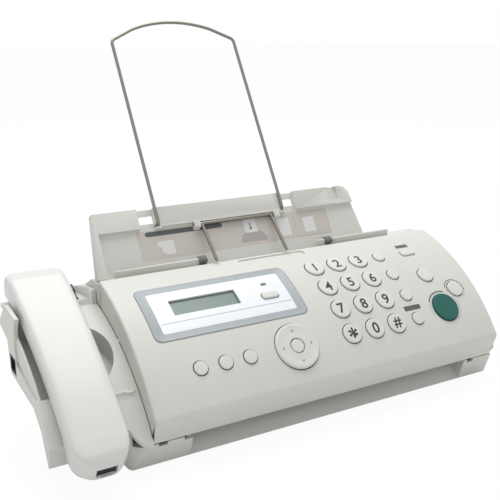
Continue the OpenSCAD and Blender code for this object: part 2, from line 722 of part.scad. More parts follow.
// Front cover: curved panel with the keys' holes, skirts, lip and hinge edge
module front_cover() color(c_case) seat() difference() {
    union() {
        difference() {
            across(0, cover_w) cover_outline();
            across(wall, cover_w - wall) cover_hollow();
        }
        // posts that carry the rocking ring
        on_panel(ring_at) for (x = [-1, 1]) translate([x * (ring_r + tilt_gap + 1.6), 0, -wall - 1.6])
            cube([2.4, 5, 4], center = true);
        // ribs at the ends of the reading sensor
        for (x = [sensor_x[0] - wall - fit / 2, sensor_x[1] + fit / 2]) across(x, x + wall)
            intersection() {
                panel_disc(inset = wall - eps);
                translate([sensor_y[0], 84]) square([sensor_y[1] + 1 - sensor_y[0], 16]);
            }
    }
    for (p = number_keys) key_hole(p, key_r);
    for (p = small_keys) key_hole(p, small_key_r);
    key_hole(stop_at, stop_r);
    key_hole(copy_at, stop_r);
    key_hole(start_at, start_r);
    key_hole(ring_at, ring_r + tilt_gap - key_gap);
    on_panel(ring_at) translate([-ring_r - 4, 0, -ring_pin_depth]) rotate([0, 90, 0])
        cylinder(r = ring_pin_r + run_gap, h = 2 * ring_r + 8);
    on_panel(quality_at) bar_hole(bar_key + [2 * key_gap, 2 * key_gap]);
    on_panel(answer_at) bar_hole(bar_key + [2 * key_gap, 2 * key_gap]);
    on_panel(lamp_at) bar_hole(lamp_size + [0.3, 0.3]);
    on_panel(window_at) translate([0, 0, -9]) linear_extrude(20) square([window_w, window_l], center = true);
    panel_patch(display_at, -2, frame_in) soft_rect([bezel_w + 0.2, bezel_l + 0.2], 5.1);
    // knuckles' gaps and the pins' bores in the hinge edge
    for (x = knuckle_x) {
        translate([x - 0.3, hinge_y - hinge_r - 0.3, hinge_z - hinge_r - 2])
            cube([knuckle_w + 0.6, 2 * hinge_r + 2, 2 * hinge_r + 6]);
        bar(x + knuckle_w - 1, x + knuckle_w + hinge_pin_l + 0.5, [hinge_y, hinge_z], hinge_pin_r + run_gap);
    }
    // finger recess between the document slots
    on_panel([135, 109.5]) translate([0, 0, -0.9]) linear_extrude(5) soft_rect([58, 7], 3.4);
}
module key_hole(at, r) on_panel(at) translate([0, 0, -wall - 4]) cylinder(r = r + key_gap, h = wall + 10);
module bar_hole(size) translate([0, 0, -wall - 4]) linear_extrude(wall + 10) soft_rect(size, min(size) / 2 - 0.1);

// Display frame: the curved bezel with its inner plate and the window
module display_panel() color(c_bezel) seat() difference() {
    panel_patch(display_at, -frame_lip, frame_in) soft_rect([bezel_w, bezel_l], 5);
    panel_patch(display_at, -2, 0) soft_rect([bezel_w - 2 * plate_margin[0], bezel_l - 2 * plate_margin[1]], 1.5);
    on_panel(window_at) translate([0, 0, -9]) linear_extrude(20) square([window_w, window_l], center = true);
    on_panel(answer_at) bar_hole(bar_key + [2 * key_gap, 2 * key_gap]);
    on_panel(lamp_at) bar_hole(lamp_size + [0.3, 0.3]);
}

// Liquid crystal module under the window
module lcd_screen() color(c_lcd) seat() on_panel(window_at) {
    translate([0, 0, -lcd_top - lcd_t / 2]) cube([window_w + lcd_margin, window_l + lcd_margin, lcd_t], center = true);
    translate([0, 0, -lcd_top]) cube([window_w - 0.4, window_l - 0.4, 1.6], center = true);
}

// Lamp lens beside the display
module answer_lamp() color("limegreen") seat() on_panel(lamp_at) {
    translate([0, 0, -wall - 0.1]) linear_extrude(wall + 0.5) soft_rect(lamp_size, min(lamp_size) / 2 - 0.1);
    translate([0, 0, -wall - 1.1]) linear_extrude(1.06) soft_rect(lamp_size + [3, 3], 1);
}

// A round key cap: flange under the panel, shaft, and a bevelled top
module round_key(at, r) on_panel(at) {
    translate([0, 0, -flange_top - flange_t]) cylinder(r = r + flange_out, h = flange_t);
    translate([0, 0, -flange_top - eps]) cylinder(r = r, h = flange_top + key_proud - bevel + eps);
    translate([0, 0, key_proud - bevel - eps]) cylinder(r1 = r, r2 = r - bevel, h = bevel + eps);
}
module number_key(k) color(c_key) seat() round_key(number_keys[k], key_r);
module small_key(k) color(c_key) seat() round_key(small_keys[k], small_key_r);
module stop_key() color(c_key) seat() round_key(stop_at, stop_r);
module copy_key() color(c_key) seat() round_key(copy_at, stop_r);
module start_key() color(c_start) seat() round_key(start_at, start_r);

// A bar key with round ends
module long_key(at) on_panel(at) {
    translate([0, 0, -flange_top - flange_t]) linear_extrude(flange_t)
        soft_rect(bar_key + [2 * flange_out, 2 * flange_out], bar_key[1] / 2);
    translate([0, 0, -flange_top - eps]) linear_extrude(flange_top + key_proud - bevel + eps)
        soft_rect(bar_key, bar_key[1] / 2 - 0.1);
    translate([0, 0, key_proud - bevel - eps]) linear_extrude(bevel)
        soft_rect(bar_key - [bevel, bevel], bar_key[1] / 2 - 0.1 - bevel / 2);
}
module quality_key() color(c_key) seat() long_key(quality_at);
module answer_key() color(c_key) seat() long_key(answer_at);

// Rocking ring of the navigator, on two pins
module navigator_ring() color(c_key) seat() on_panel(ring_at) {
    difference() {
        union() {
            translate([0, 0, -ring_low]) cylinder(r = ring_r, h = ring_low + key_proud - bevel);
            translate([0, 0, key_proud - bevel - eps]) cylinder(r1 = ring_r, r2 = ring_r - 2 * bevel, h = bevel);
        }
        translate([0, 0, -ring_low - 1]) cylinder(r = set_r + key_gap, h = ring_low + 6);
        translate([0, 0, -ring_low - 1]) cylinder(r = set_r + flange_out + 1.2, h = ring_low - 2);
    }
    for (x = [-ring_r - 3, ring_r - 1.5]) translate([x, 0, -ring_pin_depth]) rotate([0, 90, 0])
        cylinder(r = ring_pin_r, h = 4.5);
}

// Set key in the middle of the ring, with a low flange
module set_key() color(c_key) seat() on_panel(ring_at) {
    translate([0, 0, -ring_low - 0.8]) cylinder(r = set_r + flange_out, h = 1);
    translate([0, 0, -ring_low - eps]) cylinder(r = set_r, h = ring_low + key_proud);
    translate([0, 0, key_proud - 2 * eps]) cylinder(r1 = set_r, r2 = set_r - bevel, h = bevel);
}

// Rubber mat with a pad under each key
module keypad_mat() color([0.5, 0.5, 0.5]) seat() {
    left_s = (mat_s[0] + row_4 + ring_r + 3) / 2;
    panel_patch([(mat_x[0] + mat_x[1]) / 2, left_s], mat_top, mat_top + mat_t)
        square([mat_x[1] - mat_x[0], row_4 + ring_r + 3 - mat_s[0]], center = true);
    panel_patch([(answer_at[0] - 12 + mat_x[1]) / 2, (mat_s[0] + mat_s[1]) / 2], mat_top, mat_top + mat_t)
        square([mat_x[1] - answer_at[0] + 12, mat_s[1] - mat_s[0]], center = true);
    for (p = concat(number_keys, small_keys, [stop_at, copy_at, start_at, quality_at, answer_at]))
        on_panel(p) translate([0, 0, -mat_top - 0.5]) cylinder(r = pad_r, h = 1);
}

// Control board under the mat, with its parts
module control_board() color(c_board) seat() on_panel([(board_x[0] + board_x[1]) / 2, board_mid]) {
    w = board_x[1] - board_x[0];
    translate([0, 0, -board_depth - board_t / 2]) cube([w, board_l, board_t], center = true);
    for (k = [0 : 2]) translate([w * (k / 4 - 0.3), -10, -board_depth + 0.9]) cube([18, 12, 1.84], center = true);
    for (x = [-1, 1]) translate([x * (w / 2 - 14), 0, -board_low - 1.2]) cube([8, 30, 2.44], center = true);
}

// ---------------------------------------------------------------- tray, wires and guides

// Outline of the tray, narrower towards its top, between two heights up its slope
module tray_outline(u0, u1) {
    e0 = tray_x0 + tray_taper * u0 / tray_l;
    e1 = tray_x0 + tray_taper * u1 / tray_l;
    polygon([[e0, u0], [2 * tray_x0 + tray_w - e0, u0], [2 * tray_x0 + tray_w - e1, u1], [e1, u1]]);
}

// Paper tray: sheet, proud upper band, left flange, wire bosses and tabs
module paper_tray() color(c_case) seat() {
    difference() {
        on_tray() union() {
            translate([0, 0, -tray_t]) linear_extrude(tray_t) tray_outline(0, tray_l);
            translate([0, 0, -eps]) linear_extrude(band_t) tray_outline(tray_l - band_l, tray_l);
            translate([0, 0, -tray_t]) linear_extrude(tray_t + band_t) intersection() {
                tray_outline(0, tray_l);
                translate([0, 0]) square([tray_x0 + 8, tray_l]);
            }
            for (x = tab_x) translate([x, -tab_l, -tray_t]) cube([tab_w, tab_l + 1, tray_t]);
            for (x = wire_x) translate([x - 2.4, wire_foot - 3, -eps]) cube([4.8, 6, band_t]);
            for (x = [doc_wire_x[0] - bracket_w - 2, doc_wire_x[1] + 2]) bracket(x);
        }
        on_tray() {
            // notches beside the wire's legs, recessed and cut through
            for (x = [wire_x[0] - notch_w - 1, wire_x[1] + 1]) {
                translate([x, tray_l - band_l, -1]) cube([notch_w, band_l + 1, far]);
                translate([x, tray_l - band_l + 4, -far]) cube([notch_w, 6.5, far * 2]);
            }
            translate([tray_right - 16, tray_l - band_l / 2 + 1.5, 0.6]) linear_extrude(far)
                soft_rect([9.5, band_l - 2.5], 3);
            // rounded top right corner
            translate([tray_right - tray_corner, tray_l - tray_corner, -50]) linear_extrude(100) difference() {
                square(tray_corner + 20);
                circle(r = tray_corner, $fn = 64);
            }
            for (x = wire_x) translate([x, wire_foot, -tray_t - 1]) cylinder(r = wire_r + 0.05, h = 20);
            translate([doc_wire_x[0] - bracket_w - 3, doc_wire_u, doc_wire_lift]) rotate([0, 90, 0])
                cylinder(r = wire_r + run_gap, h = doc_wire_w + 2 * bracket_w + 6);
            translate([-far, tray_l, -far]) cube([far * 3, far, far * 2]);
        }
    }
}
module bracket(x) translate([x, 0, 0]) rotate([90, 0, 90]) linear_extrude(bracket_w)
    polygon([[doc_wire_u - 4, -eps], [doc_wire_u - 2.6, doc_wire_lift + 2.4], [doc_wire_u + 2.6, doc_wire_lift + 2.4],
             [doc_wire_u + 4, -eps]]);

// Steel paper wire: two legs and a bowed crown, hooked into the tray
module paper_wire() color(c_steel) seat() on_tray() {
    top = wire_foot + wire_l;
    for (x = wire_x) {
        translate([x, wire_foot, wire_lift]) rotate([-90, 0, 0]) cylinder(r = wire_r, h = wire_l, $fn = 24);
        translate([x, wire_foot, -tray_t + 0.3]) cylinder(r = wire_r, h = tray_t + wire_lift - 0.3, $fn = 24);
        for (u = [wire_foot, top]) translate([x, u, wire_lift]) sphere(r = wire_r + 0.04, $fn = 24);
    }
    crown_r = (pow(wire_w / 2, 2) + pow(crown_rise, 2)) / 2 / crown_rise;
    span = 2 * asin(wire_w / 2 / crown_r);
    translate([(wire_x[0] + wire_x[1]) / 2, top + crown_rise - crown_r, wire_lift]) rotate([0, 0, 90 - span / 2])
        rotate_extrude(angle = span, $fn = 128) translate([crown_r, 0]) circle(r = wire_r, $fn = 24);
}

// Document wire: a bail that hangs forward from a bar at the tray
module document_wire() color(c_steel) seat() on_tray() translate([0, doc_wire_u, doc_wire_lift]) {
    translate([doc_wire_x[0] - bracket_w - 2, 0, 0]) rotate([0, 90, 0])
        cylinder(r = wire_r, h = doc_wire_w + 2 * bracket_w + 4, $fn = 24);
    for (x = doc_wire_x) translate([x, 0, 0]) rotate([90 + doc_wire_drop - tray_slope, 0, 0]) {
        translate([0, 0, 0]) cylinder(r = wire_r, h = doc_wire_l, $fn = 24);
        translate([0, 0, doc_wire_l]) sphere(r = wire_r, $fn = 24);
    }
}

// Document guide: a saddle that slides on the ledge behind the document slot
module guide(x) difference() {
    across(x, x + guide_w) translate([ledge_y, shelf_z]) polygon([[0, 1.2], [-1, 1.2], [-1, ledge_h - 3.3],
        [-2.8, ledge_h - 2.8], [-2.8, ledge_h - 1.4], [-1, ledge_h + 0.4], [-0.4, ledge_h + 0.7], [ledge_t + 1, ledge_h + 0.7],
        [ledge_t + 1, ledge_h - 2.5], [ledge_t, ledge_h - 2.5]]);
    across(x - 1, x + guide_w + 1) ledge_outline(0.15);
    // grip ribs
    for (k = [0 : 3]) across(x + 0.7 + k * 1.4, x + 1.3 + k * 1.4)
        translate([ledge_y - 3, shelf_z]) square([0.8, ledge_h]);
}
module left_guide() color(c_dark) seat() guide(guide_rest[0]);
module right_guide() color(c_dark) seat() guide(guide_rest[1]);

// ---------------------------------------------------------------- handset

// Side outline of the handset: nose, back arc, ear end and underside
module handset_outline() difference() {
    f = hs_front;
    r = hs_rear;
    intersection() {
        translate(hs_c) circle(r = handset_r, $fn = 512);
        polygon([f + [-9, -19.5], f + [-10.5, -13.5], f + [-7.5, -6.5], f + [0, 0.2], f + [0, 60],
            r + [0, 60], r + [0.5, 0.4], r + [10, 1.8], r + [17, 0.4], r + [21, -4], r + [23.4, -10],
            r + [20.6, -19.2], r + [-7.4, -21.6], r + [-13.4, -20.8], r + [-20, -30], f + [26, -30],
            f + [18.3, -7.5], f + [17, -15.5], f + [14, -22.5], f + [6.5, -25.3], f + [-4.5, -24]]);
    }
    // hollow underside of the grip
    intersection() {
        translate(hs_c) circle(r = handset_r - grip_t, $fn = 512);
        polygon([f + [18.3, -7.5], f + [18.3, 60], r + [-13.4, 60], r + [-13.4, -20.8], r + [-20, -60],
            f + [18.3, -60]]);
    }
}
// Plan of the handset along the line from nose to ear, as a prism
module handset_plan(inset = 0) translate([hs_mid, hs_front[0], hs_front[1]]) rotate([hs_tilt, 0, 0])
    translate([0, 0, -60]) linear_extrude(120) hull() {
        translate([0, hs_nose_r - hs_nose]) circle(r = hs_nose_r - inset, $fn = 96);
        for (side = [-1, 1]) translate([side * (hs_ear_half - hs_ear_r), hs_l - hs_nose - hs_ear_r])
            circle(r = hs_ear_r - inset, $fn = 96);
    }
module handset_slab() intersection() {
    across(-far, 0) handset_outline();
    handset_plan();
}
module handset_split(inset = 0) translate(hs_c) circle(r = handset_r - hs_seam - inset, $fn = 512);

// Upper shell of the handset, hollow above the seam
module handset_top() color(c_white) seat() difference() {
    handset_slab();
    across(-far, 0) handset_split();
    jack_hollow();
    intersection() {
        handset_plan(hs_wall);
        across(-far, 0) difference() {
            intersection() {
                translate(hs_c) circle(r = handset_r - hs_wall, $fn = 512);
                polygon([hs_front + [2, -40], hs_front + [2, 60], hs_rear + [-4, 60], hs_rear + [-4, -40]]);
            }
            handset_split(1);
        }
    }
}

// Lower shell of the handset: mouthpiece, grip and earpiece
module handset_base() color(c_white) seat() difference() {
    intersection() {
        handset_slab();
        across(-far, 0) handset_split(0.05);
    }
    jack_hollow();
    translate([hs_mid, hs_rear[0] + 5, hs_rear[1] - 30]) cylinder(r = 11.2, h = 13);
}
module jack_hollow() translate([hs_mid - nose_jack[0] / 2, hs_front[0] - 20, hs_front[1] - 20.5])
    cube([nose_jack[0], 24, nose_jack[1]]);

// Earpiece disc and cord jack of the handset
module handset_fittings() color(c_dark) seat() {
    translate([hs_mid, hs_rear[0] + 5, hs_rear[1] - 19.4]) cylinder(r = 11, h = 2.2);
    translate([hs_mid - nose_jack[0] / 2 + 0.1, hs_front[0] - 5, hs_front[1] - 20.4])
        cube([nose_jack[0] - 0.2, 8.8, nose_jack[1] - 0.2]);
}

// ---------------------------------------------------------------- paper drive

// A roller on a shaft between the frames
module roller(at, r, x0, x1) {
    bar(x0, x1, at, r);
    bar(shaft_x[0], shaft_x[1], at, shaft_r);
}
module platen_roller() color(c_dark) seat() {
    roller(platen_at, platen_r, roll_x[0], roll_x[1]);
    bar(shaft_x[1] - eps, gear_x + eps, platen_at, shaft_r);
    gear(n_platen, platen_at, platen_phase);
}
module takeup_roll() color([0.2, 0.2, 0.22]) seat() {
    roller(takeup_at, takeup_r, roll_x[0] + 6, roll_x[1] - 6);
    bar(shaft_x[1] - eps, gear_x + eps, takeup_at, shaft_r);
    gear(n_takeup, takeup_at, takeup_phase);
}
module supply_roll() color([0.15, 0.15, 0.16]) seat() roller(supply_at, supply_r, roll_x[0] + 6, roll_x[1] - 6);
module document_roller() color(c_dark) seat() roller(doc_roll_at, doc_roll_r, sensor_x[0], sensor_x[1]);
module pickup_roller() color(c_dark) seat() roller(pickup_at, pickup_r, 60, 180);

// Thermal head above the platen, held between the frames
module print_head() color(c_steel) seat() {
    across(frame_x[0] + frame_t, frame_x[1]) translate(head_at) square(head_size);
    across(frame_x[0] + frame_t + 20, frame_x[1] - 20) translate(head_at + [2, head_size[1] - eps])
        for (k = [0 : 2]) translate([k * 4, 0]) square([1.4, 5]);
}

// Drive motor on the right frame, and its gear
module drive_motor() color(c_steel) seat() difference() {
    bar(motor_x[0], motor_x[1], drive_at, motor_r);
    bar(motor_x[0] + 2, motor_x[1] + 1, drive_at, motor_pin_r + run_gap);
}
module drive_gear() color(c_gear) seat() {
    gear(n_drive, drive_at, to_platen);
    bar(motor_x[0] + 3, gear_x + gear_w + 1, drive_at, motor_pin_r);
}

// Scanning bar under the cover's back edge, above the document roller
module sensor_bar() color([0.2, 0.25, 0.28]) seat() across(sensor_x[0], sensor_x[1])
    polygon([[sensor_y[0], sensor_low], [sensor_y[0], panel_z(sensor_y[0], wall) - 0.1],
        [sensor_y[1], panel_z(sensor_y[1], wall) - 0.1], [sensor_y[1], sensor_low]]);

// Main board and power board on their spacers
module circuit_boards() color(c_board) seat() {
    board(main_board, [power_board[0] - board_space - main_board[0], boards_l]);
    board(power_board, [power_board_w, boards_l]);
    for (x = [26, 70]) translate([main_board[0] + x, main_board[1] + 16, board_z + board_t - 0.1]) cube([26, 26, 3]);
    translate([power_board[0] + 8, power_board[1] + 8, board_z + board_t - 0.1]) cube([power_board_w - 16, 20, 22]);
    for (x = [14, power_board_w - 12]) translate([power_board[0] + x, power_board[1] + 48, board_z + board_t - 0.1])
        cylinder(r = 5, h = 18);
}
module board(at, size) {
    translate([at[0], at[1], board_z]) cube([size[0], size[1], board_t]);
    for (x = [5, size[0] - 5], y = [5, size[1] - 5]) translate([at[0] + x, at[1] + y, wall])
        cylinder(r = 2.5, h = board_z - wall + eps);
}

// Loudspeaker over the grille in the floor
module speaker() color(c_dark) seat() translate([speaker_at[0], speaker_at[1], wall]) difference() {
    union() {
        cylinder(r = speaker_r, h = 3);
        cylinder(r1 = speaker_r - 2, r2 = speaker_r / 2, h = speaker_h);
        cylinder(r = speaker_r / 2, h = speaker_h + 5);
    }
    translate([0, 0, -1]) cylinder(r = speaker_r - 3, h = 3);
}

// Telephone sockets in the back wall and in the cradle, and the power inlet
module sockets() color(c_dark) seat() {
    for (x = jack_x) socket([x, body_d, jack_z], jack_w, jack_h);
    socket([inlet_x, body_d, jack_z], inlet_w, inlet_h);
    translate([-cradle_left, cord_jack_at[0], cord_jack_at[1] - jack_h / 2]) rotate([0, 0, 90])
        socket([0, 0, 0], jack_w, jack_h);
}

// One socket block with its cavity, facing +Y at the place at
module socket(at, w, h) translate([at[0] - w / 2, at[1] - jack_l, at[2]]) difference() {
    cube([w, jack_l, h]);
    translate([socket_wall, 3, socket_wall]) cube([w - 2 * socket_wall, jack_l, h - 2 * socket_wall]);
}

base_shell();
rear_housing();
back_door();
cradle();
ear_rest();
hook_lever();
feet();
case_screws();
front_cover();
display_panel();
lcd_screen();
answer_lamp();
number_key(0);  // key_1
number_key(1);  // key_2
number_key(2);  // key_3
number_key(3);  // key_4
number_key(4);  // key_5
number_key(5);  // key_6
number_key(6);  // key_7
number_key(7);  // key_8
number_key(8);  // key_9
number_key(9);  // key_star
number_key(10);  // key_0
number_key(11);  // key_hash
small_key(0);  // broadcast_key
small_key(1);  // report_key
small_key(2);  // menu_key
small_key(3);  // redial_key
small_key(4);  // flash_key
small_key(5);  // mute_key
small_key(6);  // help_key
quality_key();
stop_key();
copy_key();
start_key();
answer_key();
navigator_ring();
set_key();
keypad_mat();
control_board();
paper_tray();
paper_wire();
document_wire();
left_guide();
right_guide();
handset_top();
handset_base();
handset_fittings();
platen_roller();
print_head();
supply_roll();
takeup_roll();
drive_motor();
drive_gear();
sensor_bar();
document_roller();
pickup_roller();
circuit_boards();
speaker();
sockets();
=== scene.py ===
import json
import bpy
import bmesh
import numpy as np
from mathutils import Matrix, Vector


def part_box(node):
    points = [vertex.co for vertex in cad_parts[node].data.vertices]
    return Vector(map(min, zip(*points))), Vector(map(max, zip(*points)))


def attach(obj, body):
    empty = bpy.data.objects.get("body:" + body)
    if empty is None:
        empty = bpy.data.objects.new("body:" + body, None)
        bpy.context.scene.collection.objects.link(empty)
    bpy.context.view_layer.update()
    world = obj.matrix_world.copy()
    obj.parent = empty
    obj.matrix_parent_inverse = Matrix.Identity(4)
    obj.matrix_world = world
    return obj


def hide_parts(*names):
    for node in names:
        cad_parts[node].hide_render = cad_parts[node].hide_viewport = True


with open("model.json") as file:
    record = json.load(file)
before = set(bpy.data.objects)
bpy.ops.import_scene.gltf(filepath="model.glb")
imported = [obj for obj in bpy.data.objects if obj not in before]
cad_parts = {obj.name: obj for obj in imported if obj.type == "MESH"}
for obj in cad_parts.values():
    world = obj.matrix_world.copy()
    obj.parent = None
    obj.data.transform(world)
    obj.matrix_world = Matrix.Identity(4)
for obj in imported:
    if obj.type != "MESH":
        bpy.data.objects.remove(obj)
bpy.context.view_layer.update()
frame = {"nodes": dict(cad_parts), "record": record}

# ---------------------------------------------------------------- camera
# The machine stands on a desk and is seen from its front left, a little
# from above. Places are worked out in millimetres from the left end of the
# control panel and the bottom front edge of the housing, then shifted.
body_depth = 188.0
foot_height = 1.5
drawing_zero = np.array([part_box("front_cover")[0].x,
                         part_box("base_shell")[1].y - body_depth / 1000,
                         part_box("feet")[0].z + foot_height / 1000])


def placed(points):
    """Row-frame metres of drawing points in millimetres: zero point plus points over a thousand."""
    return np.asarray(points, float) / 1000 + drawing_zero


camera = bpy.data.objects.new("camera", bpy.data.cameras.new("camera"))
bpy.context.scene.collection.objects.link(camera)
camera.data.sensor_width = 36
camera.data.lens = 57.73
camera.data.clip_start, camera.data.clip_end = 0.05, 20
camera.matrix_world = Matrix(((0.86654734, 0.13518468, -0.48043814, -0.28404),
                              (-0.49905181, 0.24733871, -0.83052444, -0.501384),
                              (0.00655677, 0.95945227, 0.28179486, 0.27578),
                              (0, 0, 0, 1)))
bpy.context.scene.camera = camera
bpy.context.scene.view_settings.view_transform = "Standard"

# ---------------------------------------------------------------- floor and light
# A pale table that runs out into a white background, under a large soft
# box overhead, a smaller one from the left, and an even pale room.
floor_mesh = bpy.data.meshes.new("table_top")
reach = 6.0
floor_corners = [(-reach, -reach, 0), (reach, -reach, 0), (reach, reach, 0), (-reach, reach, 0)]
floor_mesh.from_pydata(floor_corners, [], [(0, 1, 2, 3)])
floor = bpy.data.objects.new("table_top", floor_mesh)
bpy.context.scene.collection.objects.link(floor)
floor_paint = bpy.data.materials.new("pale_table")
floor_paint.use_nodes = True
nodes, links = floor_paint.node_tree.nodes, floor_paint.node_tree.links
nodes.clear()
out = nodes.new("ShaderNodeOutputMaterial")
matt = nodes.new("ShaderNodeBsdfDiffuse")
matt.inputs["Color"].default_value = (0.86, 0.86, 0.86, 1)
glow = nodes.new("ShaderNodeEmission")
glow.inputs["Strength"].default_value = 1.03
shade = nodes.new("ShaderNodeMixShader")
shade.inputs[0].default_value = 0.91
seen = nodes.new("ShaderNodeMixShader")
path = nodes.new("ShaderNodeLightPath")
links.new(matt.outputs[0], shade.inputs[1])
links.new(glow.outputs[0], shade.inputs[2])
links.new(path.outputs["Is Camera Ray"], seen.inputs[0])
links.new(matt.outputs[0], seen.inputs[1])
links.new(shade.outputs[0], seen.inputs[2])
links.new(seen.outputs[0], out.inputs["Surface"])
floor.data.materials.append(floor_paint)

room = bpy.data.worlds.new("pale_room")
bpy.context.scene.world = room
room.use_nodes = True
nodes, links = room.node_tree.nodes, room.node_tree.links
nodes.clear()
out = nodes.new("ShaderNodeOutputWorld")
sky = nodes.new("ShaderNodeBackground")
sky.inputs["Color"].default_value = (1, 1, 1, 1)
path = nodes.new("ShaderNodeLightPath")
direct = nodes.new("ShaderNodeMath")
direct.operation = "MAXIMUM"
clear = nodes.new("ShaderNodeMath")
clear.operation = "MAXIMUM"
level = nodes.new("ShaderNodeMapRange")
level.inputs["To Min"].default_value = 0.53
level.inputs["To Max"].default_value = 1.0
links.new(path.outputs["Is Camera Ray"], direct.inputs[0])
links.new(path.outputs["Is Glossy Ray"], direct.inputs[1])
links.new(direct.outputs[0], clear.inputs[0])
links.new(path.outputs["Is Transmission Ray"], clear.inputs[1])
links.new(clear.outputs[0], level.inputs["Value"])
links.new(level.outputs[0], sky.inputs["Strength"])
links.new(sky.outputs[0], out.inputs["Surface"])


def soft_box(name, at, aim, size, watts):
    """A square area lamp at a place, turned to face another place."""
    lamp = bpy.data.lights.new(name, "AREA")
    lamp.shape, lamp.size, lamp.energy = "SQUARE", size, watts
    holder = bpy.data.objects.new(name, lamp)
    holder.location = at
    holder.rotation_euler = (Vector(aim) - Vector(at)).to_track_quat("-Z", "Y").to_euler()
    bpy.context.scene.collection.objects.link(holder)


soft_box("overhead_box", (0.1, 0.4, 1.45), (0, 0, 0.05), 1.2, 16.0)
soft_box("left_box", (-1.3, -0.9, 0.9), (0, 0, 0.08), 0.9, 0.9)

# ---------------------------------------------------------------- moulded plastic
# Every cover is injection-moulded ABS with a fine spark-eroded skin. The
# grain, the faint cloudiness and the dulled high spots are one effect.
skin = bpy.data.node_groups.new("moulded_skin", "ShaderNodeTree")
for socket, kind, value in (("Colour", "NodeSocketColor", (0.8, 0.8, 0.8, 1)),
                            ("Gloss", "NodeSocketFloat", 0.5), ("Grain", "NodeSocketFloat", 1400.0),
                            ("Depth", "NodeSocketFloat", 0.2)):
    skin.interface.new_socket(socket, in_out="INPUT", socket_type=kind).default_value = value
for socket, kind in (("Colour", "NodeSocketColor"), ("Roughness", "NodeSocketFloat"),
                     ("Normal", "NodeSocketVector")):
    skin.interface.new_socket(socket, in_out="OUTPUT", socket_type=kind)
nodes, links = skin.nodes, skin.links
given = nodes.new("NodeGroupInput")
made = nodes.new("NodeGroupOutput")
where = nodes.new("ShaderNodeTexCoord")
grain = nodes.new("ShaderNodeTexNoise")
grain.inputs["Detail"].default_value = 2.0
cloud = nodes.new("ShaderNodeTexNoise")
cloud.inputs["Scale"].default_value = 22.0
cloud.inputs["Detail"].default_value = 3.0
bump = nodes.new("ShaderNodeBump")
bump.inputs["Distance"].default_value = 0.00006
dull = nodes.new("ShaderNodeMapRange")
dull.inputs["To Min"].default_value = -0.05
dull.inputs["To Max"].default_value = 0.05
rough = nodes.new("ShaderNodeMath")
tone = nodes.new("ShaderNodeMapRange")
tone.inputs["To Min"].default_value = 0.965
tone.inputs["To Max"].default_value = 1.03
tint = nodes.new("ShaderNodeVectorMath")
tint.operation = "SCALE"
for source, target in ((where.outputs["Object"], grain.inputs["Vector"]),
                       (where.outputs["Object"], cloud.inputs["Vector"]),
                       (given.outputs["Grain"], grain.inputs["Scale"]),
                       (given.outputs["Depth"], bump.inputs["Strength"]),
                       (grain.outputs["Fac"], bump.inputs["Height"]),
                       (grain.outputs["Fac"], dull.inputs["Value"]),
                       (dull.outputs[0], rough.inputs[0]),
                       (given.outputs["Gloss"], rough.inputs[1]),
                       (cloud.outputs["Fac"], tone.inputs["Value"]),
                       (given.outputs["Colour"], tint.inputs[0]),
                       (tone.outputs[0], tint.inputs["Scale"]),
                       (tint.outputs[0], made.inputs["Colour"]),
                       (rough.outputs[0], made.inputs["Roughness"]),
                       (bump.outputs[0], made.inputs["Normal"])):
    links.new(source, target)


def linear(red, green, blue):
    """Linear colour of display values from 0 to 255, by the sRGB curve."""
    c = np.array([red, green, blue]) / 255
    return (*np.where(c <= 0.04045, c / 12.92, ((c + 0.055) / 1.055) ** 2.4).tolist(), 1)


def moulded(name, rgb, roughness=0.5, grain=1400.0, depth=0.2, coat=0.0, metal=0.0):
    """A plastic, painted or metal finish: the skin group in a Principled shader."""
    paint = bpy.data.materials.new(name)
    paint.use_nodes = True
    tree = paint.node_tree
    body = tree.nodes["Principled BSDF"]
    effect = tree.nodes.new("ShaderNodeGroup")
    effect.node_tree = skin
    effect.inputs["Colour"].default_value = linear(*rgb)
    effect.inputs["Gloss"].default_value = roughness
    effect.inputs["Grain"].default_value = grain
    effect.inputs["Depth"].default_value = depth
    tree.links.new(effect.outputs["Colour"], body.inputs["Base Color"])
    tree.links.new(effect.outputs["Roughness"], body.inputs["Roughness"])
    tree.links.new(effect.outputs["Normal"], body.inputs["Normal"])
    body.inputs["Metallic"].default_value = metal
    body.inputs["Coat Weight"].default_value = coat
    body.inputs["Coat Roughness"].default_value = 0.15
    return paint


case_plastic = moulded("case_abs", (219, 219, 213), 0.46)
key_plastic = moulded("key_abs", (224, 224, 217), 0.42, grain=2200.0, depth=0.1)


def painted(obj, paint):
    """Gives an object one material in place of any it has."""
    obj.data.materials.clear()
    obj.data.materials.append(paint)
    return obj


def creased(mesh, angle):
    """Shades a mesh smooth except over edges sharper than an angle in degrees."""
    mesh.polygons.foreach_set("use_smooth", np.ones(len(mesh.polygons), bool))
    mesh.set_sharp_from_angle(angle=np.radians(angle))


def closed(name, points, faces, body, paint, sharp=38.0, stand_for=()):
    """A closed piece from points in millimetres and their faces.

    Doubles are merged, faces turned outwards, and edges over the sharp angle stay crisp.
    """
    mesh = bpy.data.meshes.new(name)
    mesh.from_pydata(placed(points).reshape(-1, 3).tolist(), [], [list(face) for face in faces])
    shape = bmesh.new()
    shape.from_mesh(mesh)
    bmesh.ops.remove_doubles(shape, verts=shape.verts, dist=2e-6)
    bmesh.ops.dissolve_degenerate(shape, edges=shape.edges, dist=1e-6)
    bmesh.ops.recalc_face_normals(shape, faces=shape.faces)
    shape.to_mesh(mesh)
    shape.free()
    return dress(name, mesh, body, paint, sharp, stand_for)


def dress(name, mesh, body, paint, sharp=38.0, stand_for=()):
    """Links a finished mesh, creases it, paints it and rides it on its body."""
    creased(mesh, sharp)
    piece = bpy.data.objects.new(name, mesh)
    bpy.context.scene.collection.objects.link(piece)
    painted(piece, paint)
    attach(piece, body)
    if stand_for:
        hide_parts(*stand_for)
    return piece


